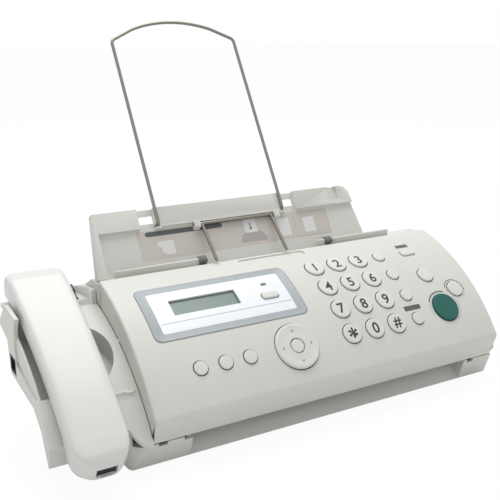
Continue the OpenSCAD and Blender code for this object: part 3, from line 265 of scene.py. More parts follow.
def grid_faces(rows, cols, round_rows=False, round_cols=False):
    """Four-sided faces between neighbours in a grid of points, its ends joined where asked."""
    i = np.arange(rows if round_rows else rows - 1)[:, None]
    j = np.arange(cols if round_cols else cols - 1)[None, :]
    i2, j2 = (i + 1) % rows, (j + 1) % cols
    return np.stack([i * cols + j, i * cols + j2, i2 * cols + j2, i2 * cols + j], -1).reshape(-1, 4)


# ---------------------------------------------------------------- housing
# The base, the fixed rear cover, its door and the cradle are separate
# mouldings, screwed together from below. The edges of the base, the rear cover,
# its door and the paper tray are rounded a little, as the mould leaves them; the cradle and the ear rest
# stay crisp.
bodies = frame["record"]["behaviour"]["bodies"]
body_of = {node: body for body, members in bodies.items() for node in members}


def softened(node, width, paint, angle=32.0):
    """A copy of a moulding, its flat faces joined and its edges rounded by millimetres, or crisp at 0."""
    mesh = frame["nodes"][node].data.copy()
    mesh.name = node + "_moulding"
    shape = bmesh.new()
    shape.from_mesh(mesh)
    bmesh.ops.remove_doubles(shape, verts=shape.verts, dist=1e-6)
    flat_enough = np.radians(0.4)
    bmesh.ops.dissolve_limit(shape, angle_limit=flat_enough, verts=shape.verts, edges=shape.edges)
    shape.to_mesh(mesh)
    shape.free()
    if not width:
        return dress(node + "_moulding", mesh, body_of[node], paint, angle, (node,))
    piece = dress(node + "_moulding", mesh, body_of[node], paint, 180.0, (node,))
    edge = piece.modifiers.new("rounded_edges", "BEVEL")
    edge.width = width / 1000
    edge.segments = 2
    edge.limit_method = "ANGLE"
    edge.angle_limit = np.radians(angle)
    edge.harden_normals = True
    edge.use_clamp_overlap = True
    return piece


softened("base_shell", 0.5, case_plastic)
softened("rear_housing", 0.5, case_plastic)
softened("back_door", 0.5, case_plastic)
softened("cradle", 0.0, case_plastic, angle=12.0)
softened("ear_rest", 0.0, case_plastic, angle=20.0)
softened("paper_tray", 0.35, case_plastic)

# ---------------------------------------------------------------- small fixed parts
# Steel, rubber and plastic parts held in the mouldings. Each keeps the shape
# that it was built with and only takes its finish.
rubber = moulded("foot_rubber", (44, 44, 46), 0.85, grain=900.0, depth=0.4)
dark_plastic = moulded("dark_abs", (38, 39, 41), 0.5)
bright_steel = moulded("bright_steel", (136, 132, 124), 0.28, grain=3000.0, depth=0.05, metal=1.0)
zinc = moulded("zinc_plate", (168, 170, 172), 0.4, grain=700.0, depth=0.15, metal=1.0)
board_green = moulded("board_lacquer", (32, 92, 58), 0.35, grain=500.0, depth=0.3, coat=0.3)
film_ink = moulded("film_ink", (28, 28, 32), 0.25, grain=260.0, depth=0.1)
gear_acetal = moulded("gear_acetal", (232, 230, 222), 0.4)
guide_grey = moulded("guide_abs", (112, 110, 102), 0.55)
mat_silicone = moulded("mat_silicone", (150, 152, 152), 0.75, grain=900.0, depth=0.3)
finish_of = {
    dark_plastic: ("hook_lever", "handset_fittings", "sensor_bar", "speaker", "sockets"),
    rubber: ("feet", "platen_roller", "document_roller", "pickup_roller"),
    zinc: ("case_screws", "print_head", "drive_motor"),
    film_ink: ("supply_roll", "takeup_roll"),
    gear_acetal: ("drive_gear",),
    board_green: ("circuit_boards", "control_board"),
    mat_silicone: ("keypad_mat",),
    guide_grey: ("left_guide", "right_guide")}
for paint, members in finish_of.items():
    for node in members:
        painted(frame["nodes"][node], paint)

# ---------------------------------------------------------------- front cover
# One ABS moulding with the curved control panel, a rounded front edge over
# a lip, and a round back edge that turns on two knuckles.
panel_r, panel_y, panel_z = 154.0, 116.734, -50.677
panel_start = np.radians(56.2415)
cover_w, wall, skirt = 290.0, 2.5, 19.0
hinge_y, hinge_z, hinge_r = 80.5, 95.4, 3.6
key_gap = 0.35


def up_panel(x, s, d):
    """Points on the panel: x across, s up its curve from the front crease, d out of its face."""
    a = panel_start - np.asarray(s, float) / panel_r
    x, a, d = np.broadcast_arrays(np.asarray(x, float), a, np.asarray(d, float))
    r = panel_r + d
    return np.stack([x, panel_y - np.sin(a) * r, panel_z + np.cos(a) * r], -1)


def square_to_panel(at, local):
    """Points stood on the panel: local x across, y up the curve's tangent, z out of the face."""
    a = panel_start - at[1] / panel_r
    foot = up_panel(at[0], at[1], 0.0)
    axes = np.array([[1, 0, 0], [0, np.cos(a), np.sin(a)], [0, -np.sin(a), np.cos(a)]])
    return foot + np.asarray(local, float) @ axes


def at_height(outline_2d, z):
    """The points of a flat outline, all at one height."""
    return np.column_stack([outline_2d, np.full(len(outline_2d), z)])


def arc(centre, radius, start, end, count):
    """Points on a circle in side view between two angles in degrees, from the front to the top."""
    t = np.radians(np.linspace(start, end, count))
    return np.stack([centre[0] - radius * np.cos(t), centre[1] + radius * np.sin(t)], -1)


def rounded_corner(before, corner, after, radius, count):
    """A corner of a side outline as a quadratic curve between its two tangent points."""
    before, corner, after = (np.asarray(point, float) for point in (before, corner, after))
    start = corner + (before - corner) / np.linalg.norm(before - corner) * radius
    end = corner + (after - corner) / np.linalg.norm(after - corner) * radius
    t = np.linspace(0, 1, count)[:, None]
    return (1 - t) ** 2 * start + 2 * t * (1 - t) * corner + t ** 2 * end


crease, lip = np.array([-11.3, 34.9]), np.array([-5.3, 17.4])
crease_round, lip_round = 2.4, 0.8
arc_len = panel_r * (panel_start - np.arcsin((panel_y - hinge_y) / panel_r))
face = up_panel(0, np.linspace(crease_round, arc_len, 56), 0)[:, 1:]
back = arc((hinge_y, hinge_z), hinge_r, 95, 265, 12)
under_back, under_front = arc_len - 1.0, 7.4
under = up_panel(0, np.linspace(under_back, under_front, 30), 0)[:, 1:] - [0, skirt]
outer = np.vstack([rounded_corner(lip + [wall, 0], lip, crease, lip_round, 4),
                   rounded_corner(lip, crease, face[0], crease_round, 9), face[1:], back])
inner = np.vstack([under, [[lip[0] + wall, under[-1][1]], [lip[0] + wall, lip[1]]]])
outline = np.vstack([outer, inner])
ahead, behind = np.roll(outline, -1, axis=0), np.roll(outline, 1, axis=0)
run = (ahead - behind) / np.linalg.norm(ahead - behind, axis=1)[:, None]
outward = np.stack([-run[:, 1], run[:, 0]], -1)
share = np.concatenate([np.ones(len(outer)), np.zeros(len(inner))])
end_round, middle_rows = 1.6, 72
t = np.linspace(np.pi / 2, 0, 7)
rim_x = end_round * (1 - np.sin(t))
rim_in = end_round * (1 - np.cos(t))
middle_x = np.linspace(end_round, cover_w - end_round, middle_rows + 2)[1:-1]
along = np.concatenate([rim_x, middle_x, cover_w - rim_x[::-1]])
pull = np.concatenate([rim_in, np.zeros(middle_rows), rim_in[::-1]])
side = outline[None] - (pull[:, None] * share[None])[..., None] * outward[None]
rows, cols = side.shape[:2]
across = np.broadcast_to(along[:, None, None], (rows, cols, 1))
cover_points = np.concatenate([across, side], -1)
cover_faces = grid_faces(rows, cols, round_cols=True).tolist()
cover_faces += [list(range(cols))[::-1], list(range((rows - 1) * cols, rows * cols))]


def rounded_outline(half_x, half_y, corner, count=64):
    """A rounded rectangle in plan, its points spread by angle."""
    t = np.linspace(0, 2 * np.pi, count, endpoint=False) + np.pi / count
    turn = np.stack([np.cos(t), np.sin(t)], -1)
    return np.sign(turn) * [half_x - corner, half_y - corner] + corner * turn


def round_outline(radius):
    """A circle in plan."""
    return rounded_outline(radius, radius, radius)


def prism(points_low, points_high):
    """A closed prism between two outlines with as many points."""
    k = len(points_low)
    faces = grid_faces(2, k, round_cols=True).tolist()
    faces += [list(range(k))[::-1], list(range(k, 2 * k))]
    return np.vstack([points_low, points_high]), faces


def standing_cut(at, outline_2d, low, high):
    """A cutter stood square on the panel, from a depth below its face to a height above."""
    return prism(*(square_to_panel(at, at_height(outline_2d, z)) for z in (low, high)))


def side_cut(outline_2d, x0, x1):
    """A cutter that runs across the machine, with an outline in side view."""
    return prism(*(np.column_stack([np.full(len(outline_2d), x), outline_2d]) for x in (x0, x1)))


def cut(piece, name, cutters):
    """Takes closed cutters out of a piece for good and keeps its materials."""
    mesh = bpy.data.meshes.new(name)
    base, all_points, all_faces = 0, [], []
    for points, faces in cutters:
        all_points.append(points)
        all_faces += [[i + base for i in face] for face in faces]
        base += len(points)
    mesh.from_pydata(placed(np.vstack(all_points)).tolist(), [], all_faces)
    shape = bmesh.new()
    shape.from_mesh(mesh)
    bmesh.ops.recalc_face_normals(shape, faces=shape.faces)
    shape.to_mesh(mesh)
    shape.free()
    tool = bpy.data.objects.new(name, mesh)
    bpy.context.scene.collection.objects.link(tool)
    op = piece.modifiers.new(name, "BOOLEAN")
    op.operation, op.object, op.solver = "DIFFERENCE", tool, "MANIFOLD"
    graph = bpy.context.evaluated_depsgraph_get()
    done = bpy.data.meshes.new_from_object(piece.evaluated_get(graph))
    piece.modifiers.clear()
    piece.data = done
    bpy.data.objects.remove(tool)
    return piece


key_r, small_r, start_r, stop_r, ring_r, set_r = 7.8, 5.1, 11.5, 6.8, 16.6, 5.2
row_s = 27.2 + 20.4 * np.arange(4)
number_at = {str(k + 1): (160.2 + 20.4 * (k % 3), row_s[3 - k // 3]) for k in range(9)}
number_at.update({"star": (160.2, row_s[0]), "0": (180.6, row_s[0]), "hash": (201.0, row_s[0])})
small_at = {"broadcast_key": (39.3, row_s[0]), "report_key": (57.7, row_s[0]), "menu_key": (76.1, row_s[0])}
small_at.update(zip(("redial_key", "flash_key", "mute_key", "help_key"), ((221.4, s) for s in row_s[::-1])))
stop_at, copy_at, start_at, ring_at = (250.0, 61.8), (269.0, 44.4), (251.2, 31.0), (113.1, 27.2)
quality_at, answer_at, lamp_at = (250.0, 87.3), (111.65, 70.7), (111.65, 81.9)
bar_size = (14.0, 6.0)
display_at, display_size = (75.15, 73.2), (117.5, 46.5)
window_at, window_size = (62.05, 75.6), (50.8, 13.6)
grip_at = (135.0, 109.5)

cover = closed("front_cover_moulding", cover_points, cover_faces, "front_cover", case_plastic,
               stand_for=("front_cover",))
hollow_front, hollow_back, hollow_foot = lip[0] + wall, hinge_y + 12, 5
hollow = np.vstack([up_panel(0, np.linspace(4.5, arc_len - 5.5, 50), -wall)[:, 1:],
                    [[hinge_y - hinge_r - 1.2, hinge_z - hinge_r],
                     [hollow_back, hinge_z - hinge_r],
                     [hollow_back, hollow_foot],
                     [hollow_front, hollow_foot],
                     [hollow_front, 24.0]]])
cut(cover, "cover_hollow", [side_cut(hollow, wall, cover_w - wall)])
rounds = [(at, key_r) for at in number_at.values()] + [(at, small_r) for at in small_at.values()]
rounds += [(stop_at, stop_r), (copy_at, stop_r), (start_at, start_r), (ring_at, ring_r + 0.25)]
bar_hole = rounded_outline(bar_size[0] / 2 + key_gap, bar_size[1] / 2 + key_gap, 3.2)
key_cuts = [standing_cut(at, round_outline(r + key_gap), -12, 6) for at, r in rounds]
key_cuts += [standing_cut(quality_at, bar_hole, -12, 6)]
cut(cover, "key_holes", key_cuts)
side_ledge, end_ledge, grip_depth = 4, 3, 0.9
recess = rounded_outline(display_size[0] / 2 - side_ledge, display_size[1] / 2 - end_ledge, 3)
grip_slot = rounded_outline(29, 3.5, 3.4)
cut(cover, "display_recess", [standing_cut(display_at, recess, -14, 7),
                              standing_cut(grip_at, grip_slot, -grip_depth, 5)])
creased(cover.data, 38)

# ---------------------------------------------------------------- keys
# Each key is its own ABS cap with a rounded rim and a faintly domed top,
# held under the panel by a flange. Digits and signs are printed on top.
start_green = moulded("start_abs", (6, 92, 82), 0.5, grain=2200.0, depth=0.1)
print_ink = moulded("grey_print", (52, 54, 58), 0.5, grain=2500.0, depth=0.05)
proud, dome, shrink = 1.25, 0.14, 0.35
flange, flange_low, flange_high = 1.2, -4.4, -3.3
cap_rim, least_corner = 0.55, 0.3


def cap_rows(half_x, half_y, corner):
    """Loops of a key cap: flange, straight wall, quarter-round rim and a parabolic dome."""
    t = np.linspace(0, np.pi / 2, 7)
    rows = [(-flange, flange_low), (-flange, flange_high), (0, flange_high)]
    rows += [(cap_rim * (1 - np.cos(a)), proud - cap_rim + cap_rim * np.sin(a)) for a in t]
    foot = rounded_outline(half_x + flange, half_y + flange, corner + flange)
    loops = [at_height(foot * 0, flange_low)]
    for inset, z in rows:
        corner_here = max(corner - inset, least_corner)
        loops.append(at_height(rounded_outline(half_x - inset, half_y - inset, corner_here), z))
    top = rounded_outline(half_x - cap_rim, half_y - cap_rim, max(corner - cap_rim, least_corner))
    for f in np.linspace(1, 0, 7)[1:]:
        loops.append(at_height(top * f, proud + dome * (1 - f ** 2)))
    return np.array(loops)


def key_cap(node, at, half_x, half_y, corner, paint):
    """A key cap stood on the panel in place of its node."""
    loops = cap_rows(half_x - shrink, half_y - shrink, corner - shrink)
    points = square_to_panel(at, loops.reshape(-1, 3))
    faces = grid_faces(*loops.shape[:2], round_cols=True)
    return closed(node + "_cap", points, faces, node, paint, stand_for=(node,))


print_lift, print_weight = 0.06, 0.018


def printed(name, sign, at, size, body):
    """A sign on a key's top: built-in lettering as a flat mesh that stands a hair above the dome."""
    thickness = dome + print_lift
    letters = bpy.data.curves.new(name, "FONT")
    letters.body = sign
    letters.size = size
    letters.extrude = thickness / 2
    letters.offset = print_weight * size
    letters.align_x, letters.align_y = "CENTER", "CENTER"
    source = bpy.data.objects.new(name + "_source", letters)
    bpy.context.scene.collection.objects.link(source)
    graph = bpy.context.evaluated_depsgraph_get()
    mesh = bpy.data.meshes.new_from_object(source.evaluated_get(graph))
    bpy.data.objects.remove(source)
    co = np.zeros(len(mesh.vertices) * 3)
    mesh.vertices.foreach_get("co", co)
    co = co.reshape(-1, 3)
    co[:, :2] -= (co[:, :2].max(0) + co[:, :2].min(0)) / 2
    co[:, 2] += proud + thickness / 2
    mesh.vertices.foreach_set("co", placed(square_to_panel(at, co)).ravel())
    mesh.update()
    return dress(name, mesh, body, print_ink)


digit_size, star_size = 11.4, 17.1
for key, at in number_at.items():
    node = "key_" + key
    sign = {"star": "*", "hash": "#"}.get(key, key)
    key_cap(node, at, key_r, key_r, key_r, key_plastic)
    printed(node + "_sign", sign, at, star_size if key == "star" else digit_size, node)
for node, at in small_at.items():
    key_cap(node, at, small_r, small_r, small_r, key_plastic)
key_cap("stop_key", stop_at, stop_r, stop_r, stop_r, key_plastic)
key_cap("copy_key", copy_at, stop_r, stop_r, stop_r, key_plastic)
key_cap("start_key", start_at, start_r, start_r, start_r, start_green)
for node, at in (("quality_key", quality_at), ("answer_key", answer_at)):
    key_cap(node, at, bar_size[0] / 2, bar_size[1] / 2, bar_size[1] / 2 - 0.1, key_plastic)

# ---------------------------------------------------------------- navigator
# A rocking ring of the keys' plastic on two side pins, with a shallow dish
# and four pressed marks, round the set key.
ring_rows = np.array([(set_r + 0.4, -4.2), (ring_r - 0.2, -4.2), (ring_r, -4.0), (ring_r, 0.5),
                      (ring_r - 0.12, 0.95), (ring_r - 0.45, 1.3), (ring_r - 0.95, 1.5),
                      (ring_r - 1.6, 1.55), (ring_r - 3.2, 1.3), (ring_r - 6, 1.1),
                      (set_r + 2.4, 1.2), (set_r + 1.2, 1.4), (set_r + 0.6, 1.3), (set_r + 0.4, 0.9)])
turn = np.linspace(0, 2 * np.pi, 96, endpoint=False)
ring_local = np.stack([ring_rows[:, :1] * np.cos(turn), ring_rows[:, :1] * np.sin(turn),
                       np.broadcast_to(ring_rows[:, 1:], (len(ring_rows), len(turn)))], -1)
ring_faces = grid_faces(len(ring_rows), len(turn), round_rows=True, round_cols=True)
closed("navigator_dish", square_to_panel(ring_at, ring_local.reshape(-1, 3)), ring_faces, "navigator_ring",
       key_plastic, stand_for=("navigator_ring",))
key_cap("set_key", ring_at, set_r, set_r, set_r, key_plastic)
mark_grey = moulded("pressed_grey", (150, 152, 150), 0.5)
mark_r = (ring_r + set_r) / 2 * 1.02
mark_tip, mark_tail, mark_half = 1.0, 0.4, 1.3
mark_low, mark_high = 0.9, 1.24
for k, (dx, dy) in enumerate(((1, 0), (0, 1), (-1, 0), (0, -1))):
    away, aside = np.array([dx, dy]), np.array([-dy, dx]) * mark_half
    tail = away * mark_r - away * mark_tail
    mark = np.array([away * mark_r + away * mark_tip, tail + aside, tail - aside])
    points, faces = prism(*(at_height(mark, z) for z in (mark_low, mark_high)))
    closed("navigator_mark_%d" % k, square_to_panel(ring_at, points), faces, "navigator_ring",
           mark_grey)

# ---------------------------------------------------------------- display
# A blue-grey frame let into the panel round a near-white plate, with the
# liquid crystal window, the answer key and its lamp.
frame_paint = moulded("display_frame_abs", (168, 175, 178), 0.34, depth=0.08)
plate_paint = moulded("display_plate_pc", (243, 246, 251), 0.3, depth=0.04, coat=0.2)


def curved_rows(at, loops):
    """Loops of plan points and heights laid along the panel's curve round a middle point."""
    loops = np.asarray(loops)
    return up_panel(at[0] + loops[..., 0], at[1] + loops[..., 1], loops[..., 2])


def spread_outline(half_x, half_y, corner, count):
    """A rounded rectangle with its points spread evenly round its edge, so that it can bend."""
    t = np.linspace(0, np.pi / 2, 12)
    quarter = np.stack([half_x - corner + corner * np.cos(t), half_y - corner + corner * np.sin(t)], -1)
    loop = np.vstack([quarter, (quarter * [-1, 1])[::-1], -quarter, (quarter * [1, -1])[::-1]])
    loop = np.vstack([loop, loop[:1]])
    run = np.concatenate([[0], np.cumsum(np.linalg.norm(np.diff(loop, axis=0), axis=1))])
    at_run = np.linspace(0, run[-1], count, endpoint=False)
    return np.stack([np.interp(at_run, run, column) for column in loop.T], -1)


seam_paint = moulded("display_seam", (104, 108, 108), 0.6)
bezel_section = [(0.2, -0.8), (0, 0.2), (0.25, 0.45), (0.8, 0.5), (1.6, 0.3), (2.6, 0.12), (6.4, 0.1),
                 (7.0, 0.0), (7.0, -0.75)]
seam_section = [(-0.08, -0.06), (-0.08, 0.04), (-0.42, 0.04), (-0.42, -0.06)]
half = np.array(display_size) / 2
# The bars above and below the plate are four fifths as wide as those at its sides.
bezel_corner, least_bezel_corner, bar_share = 5, 1.2, 0.8
around = 220
for name, section, paint in (("display_bezel", bezel_section, frame_paint),
                             ("display_seam_line", seam_section, seam_paint)):
    loops = []
    for inset, z in section:
        corner = max(bezel_corner - inset * 0.5, least_bezel_corner)
        loop = spread_outline(half[0] - inset, half[1] - inset * bar_share, corner, around)
        loops.append(at_height(loop, z))
    points = curved_rows(display_at, loops).reshape(-1, 3)
    faces = grid_faces(len(loops), around, round_rows=True, round_cols=True)
    closed(name, points, faces, "front_cover", paint)

plate_inset = [6.8, 5.4]
plate_half = half - plate_inset
rows, cols = 60, 40
u, v = np.linspace(-1, 1, rows), np.linspace(-1, 1, cols)
plate_plan = np.stack(np.meshgrid(u * plate_half[0], v * plate_half[1], indexing="ij"), -1).reshape(-1, 2)
count = rows * cols
plate_top, plate_bottom = (curved_rows(display_at, at_height(plate_plan, z)) for z in (-0.1, -1.6))
top_faces = grid_faces(rows, cols)
rim = np.concatenate([np.arange(cols), np.arange(1, rows) * cols + cols - 1,
                      (count - cols + np.arange(cols - 1))[::-1], (np.arange(1, rows - 1) * cols)[::-1]])
rim_next = np.roll(rim, -1)
side_faces = np.stack([rim, rim_next, rim_next + count, rim + count], -1)
plate_faces = np.vstack([top_faces, top_faces[:, ::-1] + count, side_faces]).tolist()
plate = closed("display_plate", np.vstack([plate_top, plate_bottom]), plate_faces, "front_cover",
               plate_paint, stand_for=("display_panel",))
window_hole = rounded_outline(window_size[0] / 2, window_size[1] / 2, 0.6)
lamp_hole = rounded_outline(2.25, 1.05, 1.0)
cut(plate, "display_openings", [standing_cut(at, hole, -9, 9) for at, hole in (
    (window_at, window_hole), (answer_at, bar_hole), (lamp_at, lamp_hole))])
plate.data.set_sharp_from_angle(angle=np.radians(38))

lcd_paint = moulded("liquid_crystal", (112, 130, 122), 0.3, grain=4200.0, depth=0.02, coat=0.15)
painted(frame["nodes"]["lcd_screen"], lcd_paint)
lamp_paint = moulded("lamp_lens", (96, 128, 92), 0.2, coat=0.5)
painted(frame["nodes"]["answer_lamp"], lamp_paint)


def laid_on(lay, name, outline_2d, low, high, body, paint):
    """A thin closed piece with a flat outline, laid on a curved or sloping face between two heights."""
    points, faces = prism(*(lay(outline_2d[:, 0], outline_2d[:, 1], z) for z in (low, high)))
    return closed(name, points, faces, body, paint)


def ring_sector(at, inner, outer, start, end, count=40):
    """The outline of a part of a ring between two angles in degrees."""
    t = np.radians(np.linspace(start, end, count))
    turn = np.stack([np.cos(t), np.sin(t)], -1)
    return np.vstack([at + outer * turn, at + inner * turn[::-1]])


def rectangle(x0, x1, y0, y1, corner=0.02, steps=5):
    """A rectangle's outline with small round corners, run anticlockwise."""
    outline_2d = []
    middles = ((x1 - corner, y1 - corner), (x0 + corner, y1 - corner),
               (x0 + corner, y0 + corner), (x1 - corner, y0 + corner))
    for k, middle in enumerate(middles):
        t = np.linspace(0, np.pi / 2, steps) + k * np.pi / 2
        outline_2d.append(middle + corner * np.stack([np.cos(t), np.sin(t)], -1))
    return np.vstack(outline_2d)


line_grey = moulded("plate_line", (168, 174, 180), 0.4)
line_half = plate_half[0] - 1
line_outline = rectangle(display_at[0] - line_half, display_at[0] + line_half, 63.1, 63.5)
laid_on(up_panel, "display_plate_line", line_outline, -0.12, -0.02, "front_cover", line_grey)

# ---------------------------------------------------------------- panel print
# Marks printed and pressed on the panel: a pale halo and dark arcs round
# the start and copy keys, and two dark fields for key captions.
halo_paint = moulded("halo_print", (208, 214, 210), 0.5)
dark_print = moulded("dark_print", (88, 92, 92), 0.5)
soft_print = moulded("soft_print", (158, 160, 155), 0.5)
marks = []
for name, at, inner, width, start, end, paint in (
        ("start_halo", start_at, start_r + 0.5, 1.4, 0, 359.9, halo_paint),
        ("start_arc", start_at, start_r + 2.1, 1.0, 68, 150, dark_print),
        ("start_arc_thin", start_at, start_r + 2.1, 0.3, 150, 200, soft_print),
        ("start_arc_right", start_at, start_r + 2.1, 0.3, -55, 22, soft_print),
        ("copy_arc", copy_at, stop_r + 1.5, 0.7, -20, 165, dark_print),
        ("copy_arc_left", copy_at, stop_r + 1.5, 0.4, 165, 190, soft_print),
        ("copy_arc_right", copy_at, stop_r + 1.5, 0.4, -62, -20, soft_print)):
    points_round = 96 if name == "start_halo" else 40
    marks.append((name, ring_sector(at, inner, inner + width, start, end, points_round), paint))
marks.append(("help_field", rectangle(213.2, 228.6, 34.4, 38.4, 0.4), dark_print))
marks.append(("quality_field", rectangle(244.5, 256.5, 94.4, 98.2, 0.4), dark_print))
print_low, print_high = -0.06, 0.05
for name, outline_2d, paint in marks:
    laid_on(up_panel, name, outline_2d, print_low, print_high, "front_cover", paint)

# ---------------------------------------------------------------- key gap shade
# Painted shade: a ring of dark rubber sits in the gap round each key a little
# below the panel's face, clear of the cap and of the hole, to darken the gap as its shadow does.
shade_ring_half, shade_ring_low, shade_ring_high = 0.3, -3.1, -0.3
shade_rings = [(at, r - shade_ring_half, r + shade_ring_half) for at, r in rounds[:-1]]
shade_rings += [(ring_at, ring_r + 0.32, ring_r + 0.55)]
shade_ring_points, shade_ring_faces, base = [], [], 0
for at, near, far in shade_rings:
    section = ((near, shade_ring_low), (far, shade_ring_low), (far, shade_ring_high), (near, shade_ring_high))
    loops = np.array([at_height(round_outline(r), z) for r, z in section])
    shade_ring_points.append(square_to_panel(at, loops.reshape(-1, 3)))
    shade_ring_faces.append(grid_faces(*loops.shape[:2], round_rows=True, round_cols=True) + base)
    base += len(shade_ring_points[-1])
# the dark rings are painted shade in the gaps round the keys and the navigator ring
closed("key_shade_rings", np.vstack(shade_ring_points), np.vstack(shade_ring_faces), "front_cover", rubber)

# ---------------------------------------------------------------- wires
# Bent spring-steel wire: the paper support hooked into the tray, and the
# bail for finished documents that turns in the tray's brackets.
tray_slope = np.radians(57.2)
tray_y, tray_z = 89.0, 96.0


def up_tray(x, u, lift):
    """Points on the tray: x across, u up its slope from the shelf, lift off its face."""
    x, u, lift = np.broadcast_arrays(*(np.asarray(v, float) for v in (x, u, lift)))
    return np.stack([x, tray_y + np.cos(tray_slope) * u - np.sin(tray_slope) * lift,
                     tray_z + np.sin(tray_slope) * u + np.cos(tray_slope) * lift], -1)


def bent(corners, radius, count=9):
    """A path of straight runs, each inner corner a quadratic curve that starts a radius before it."""
    corners = np.asarray(corners, float)
    path = [corners[:1]]
    t = np.linspace(0, 1, count)[:, None]
    for before, here, after in zip(corners[:-2], corners[1:-1], corners[2:]):
        length_a, length_b = np.linalg.norm(before - here), np.linalg.norm(after - here)
        start = here + (before - here) * min(radius, length_a * 0.45) / length_a
        end = here + (after - here) * min(radius, length_b * 0.45) / length_b
        path.append((1 - t) ** 2 * start + 2 * t * (1 - t) * here + t ** 2 * end)
    return np.vstack(path + [corners[-1:]])


def wire_piece(name, path, radius, body, node, sides=16):
    """A round wire with flat ends: a circle carried along a path and turned as little as possible."""
    path = np.asarray(path, float)
    run = np.gradient(path, axis=0)
    run /= np.linalg.norm(run, axis=1)[:, None]
    slanted = [0.3, 0.5, 0.8]
    side = np.cross(run[0], slanted)
    first_axis = []
    for ahead in run:
        side = side - ahead * (side @ ahead)
        side = side / np.linalg.norm(side)
        first_axis.append(side)
    first_axis = np.array(first_axis)[:, None]
    second_axis = np.cross(run, first_axis[:, 0])[:, None]
    turn = np.linspace(0, 2 * np.pi, sides, endpoint=False)[None, :, None]
    points = path[:, None] + radius * (first_axis * np.cos(turn) + second_axis * np.sin(turn))
    last = (len(path) - 1) * sides
    faces = grid_faces(len(path), sides, round_cols=True).tolist()
    faces += [list(range(sides)), list(range(last, last + sides))]
    return closed(name, points, faces, body, bright_steel, stand_for=(node,))


wire_r, foot_u, leg_l, wire_lift, crown = 1.25, 34.5, 151.0, 4.35, 15.95
hook_depth, bend_r = -2.6, 3.0
left_x, right_x = 55.0, 161.5
half_w = (right_x - left_x) / 2
crown_r = (half_w ** 2 + crown ** 2) / 2 / crown
sweep = np.linspace(-1, 1, 33) * np.arcsin(half_w / crown_r)
bow_x = (left_x + right_x) / 2 + crown_r * np.sin(sweep)
bow_u = foot_u + leg_l + crown - crown_r + crown_r * np.cos(sweep)
bow = up_tray(bow_x, bow_u, wire_lift)
left_foot = [up_tray(left_x, foot_u, lift) for lift in (hook_depth, wire_lift)]
right_foot = [up_tray(right_x, foot_u, lift) for lift in (wire_lift, hook_depth)]
left_run = bent(left_foot + [bow[0], bow[6]], bend_r)
right_run = bent([bow[-7], bow[-1]] + right_foot, bend_r)
wire_path = np.vstack([left_run, bow[7:-7], right_run])
wire_piece("paper_support_wire", wire_path, wire_r, "root", "paper_wire")

painted(frame["nodes"]["document_wire"], bright_steel)

# ---------------------------------------------------------------- tray card
# A thin card glued to the tray's face, with plain fields and sheet shapes
# that show how paper goes in.
card_paint = moulded("card_beige", (206, 200, 192), 0.6)
sheet_paint = moulded("card_white", (228, 228, 226), 0.6)
shape_paint = moulded("card_grey", (176, 174, 170), 0.6)
sheet_outline = np.array([[125.5, 19.6], [136.5, 19.6], [136.3, 31.0], [126.0, 31.0]])
feeder_outline = np.array([[120.3, 12.1], [143.5, 12.1], [143.5, 14.5], [139.8, 20.2],
                           [124.6, 20.2], [120.3, 14.5]])
arrow_outline = np.array([[130.6, 27.5], [131.4, 27.5], [131.4, 23.4], [132.3, 23.4],
                          [131.0, 21.4], [129.7, 23.4], [130.6, 23.4]])
folded_outline = np.array([[52.2, 22.6], [65.2, 22.6], [65.2, 11.6], [58.0, 11.6],
                           [54.8, 14.2], [54.8, 17.4], [52.2, 18.4]])
for name, outline_2d, low, high, paint in (
        ("card_left", rectangle(37.9, 89.0, 9.2, 31.6), -0.3, 0.06, card_paint),
        ("card_middle", rectangle(89.0, 151.5, 9.2, 32.6), -0.3, 0.06, card_paint),
        ("card_right", rectangle(151.5, 203.4, 10.2, 31.6), -0.3, 0.06, card_paint),
        ("card_field", rectangle(44.1, 107.4, 26.9, 30.6, 1.8), 0.0, 0.1, dark_print),
        ("card_folded_edge", folded_outline + [0.4, -0.5], 0.0, 0.09, shape_paint),
        ("card_folded", folded_outline, 0.0, 0.12, sheet_paint),
        ("card_feeder", feeder_outline, 0.0, 0.1, shape_paint),
        ("card_sheet", sheet_outline, 0.0, 0.13, sheet_paint),
        ("card_arrow", arrow_outline, 0.0, 0.17, dark_print),
        ("card_window_left", rectangle(154.6, 166.4, 12.6, 27.5), 0.0, 0.1, sheet_paint),
        ("card_window_right", rectangle(179.2, 189.8, 13.4, 26.0), 0.0, 0.1, sheet_paint),
        ("card_divider", rectangle(171.0, 171.3, 10.6, 31.2), 0.0, 0.1, shape_paint),
        ("card_edge", rectangle(203.0, 203.4, 10.2, 31.6), 0.0, 0.1, shape_paint),
        ("card_foot", rectangle(171.0, 203.4, 10.2, 10.6), 0.0, 0.1, shape_paint)):
    laid_on(up_tray, name, outline_2d, low, high, "root", paint)

# ---------------------------------------------------------------- handset
# Two glossy white ABS shells that meet in a fine seam along the sides. The
# back is one long crowned curve; the nose and the ear end hang below it.
handset_white = moulded("handset_abs", (224, 225, 221), 0.33, depth=0.06, coat=0.15)


def deck(y):
    """Height of the cradle's deck in side view: the panel's arc, lowered by the depth of the skirt."""
    return panel_z + np.sqrt(panel_r ** 2 - (y - panel_y) ** 2) - skirt


nose_at, ear_at = np.array([-20.5, deck(0) + 9.7]), np.array([93.4, deck(93.4) + 21.75])
back_r, seam_depth, grip, seam_gap = 375.0, 11.5, 15.5, 0.45
mid_x, nose_half, ear_half = -38.1, 17.45, 19.95
ear_corner, nose_end, ear_end = 9.5, 17.0, 16.5
chord = np.linalg.norm(ear_at - nose_at)
run_dir = (ear_at - nose_at) / chord
rise_dir = np.array([-run_dir[1], run_dir[0]])
sag = np.sqrt(back_r ** 2 - chord ** 2 / 4)


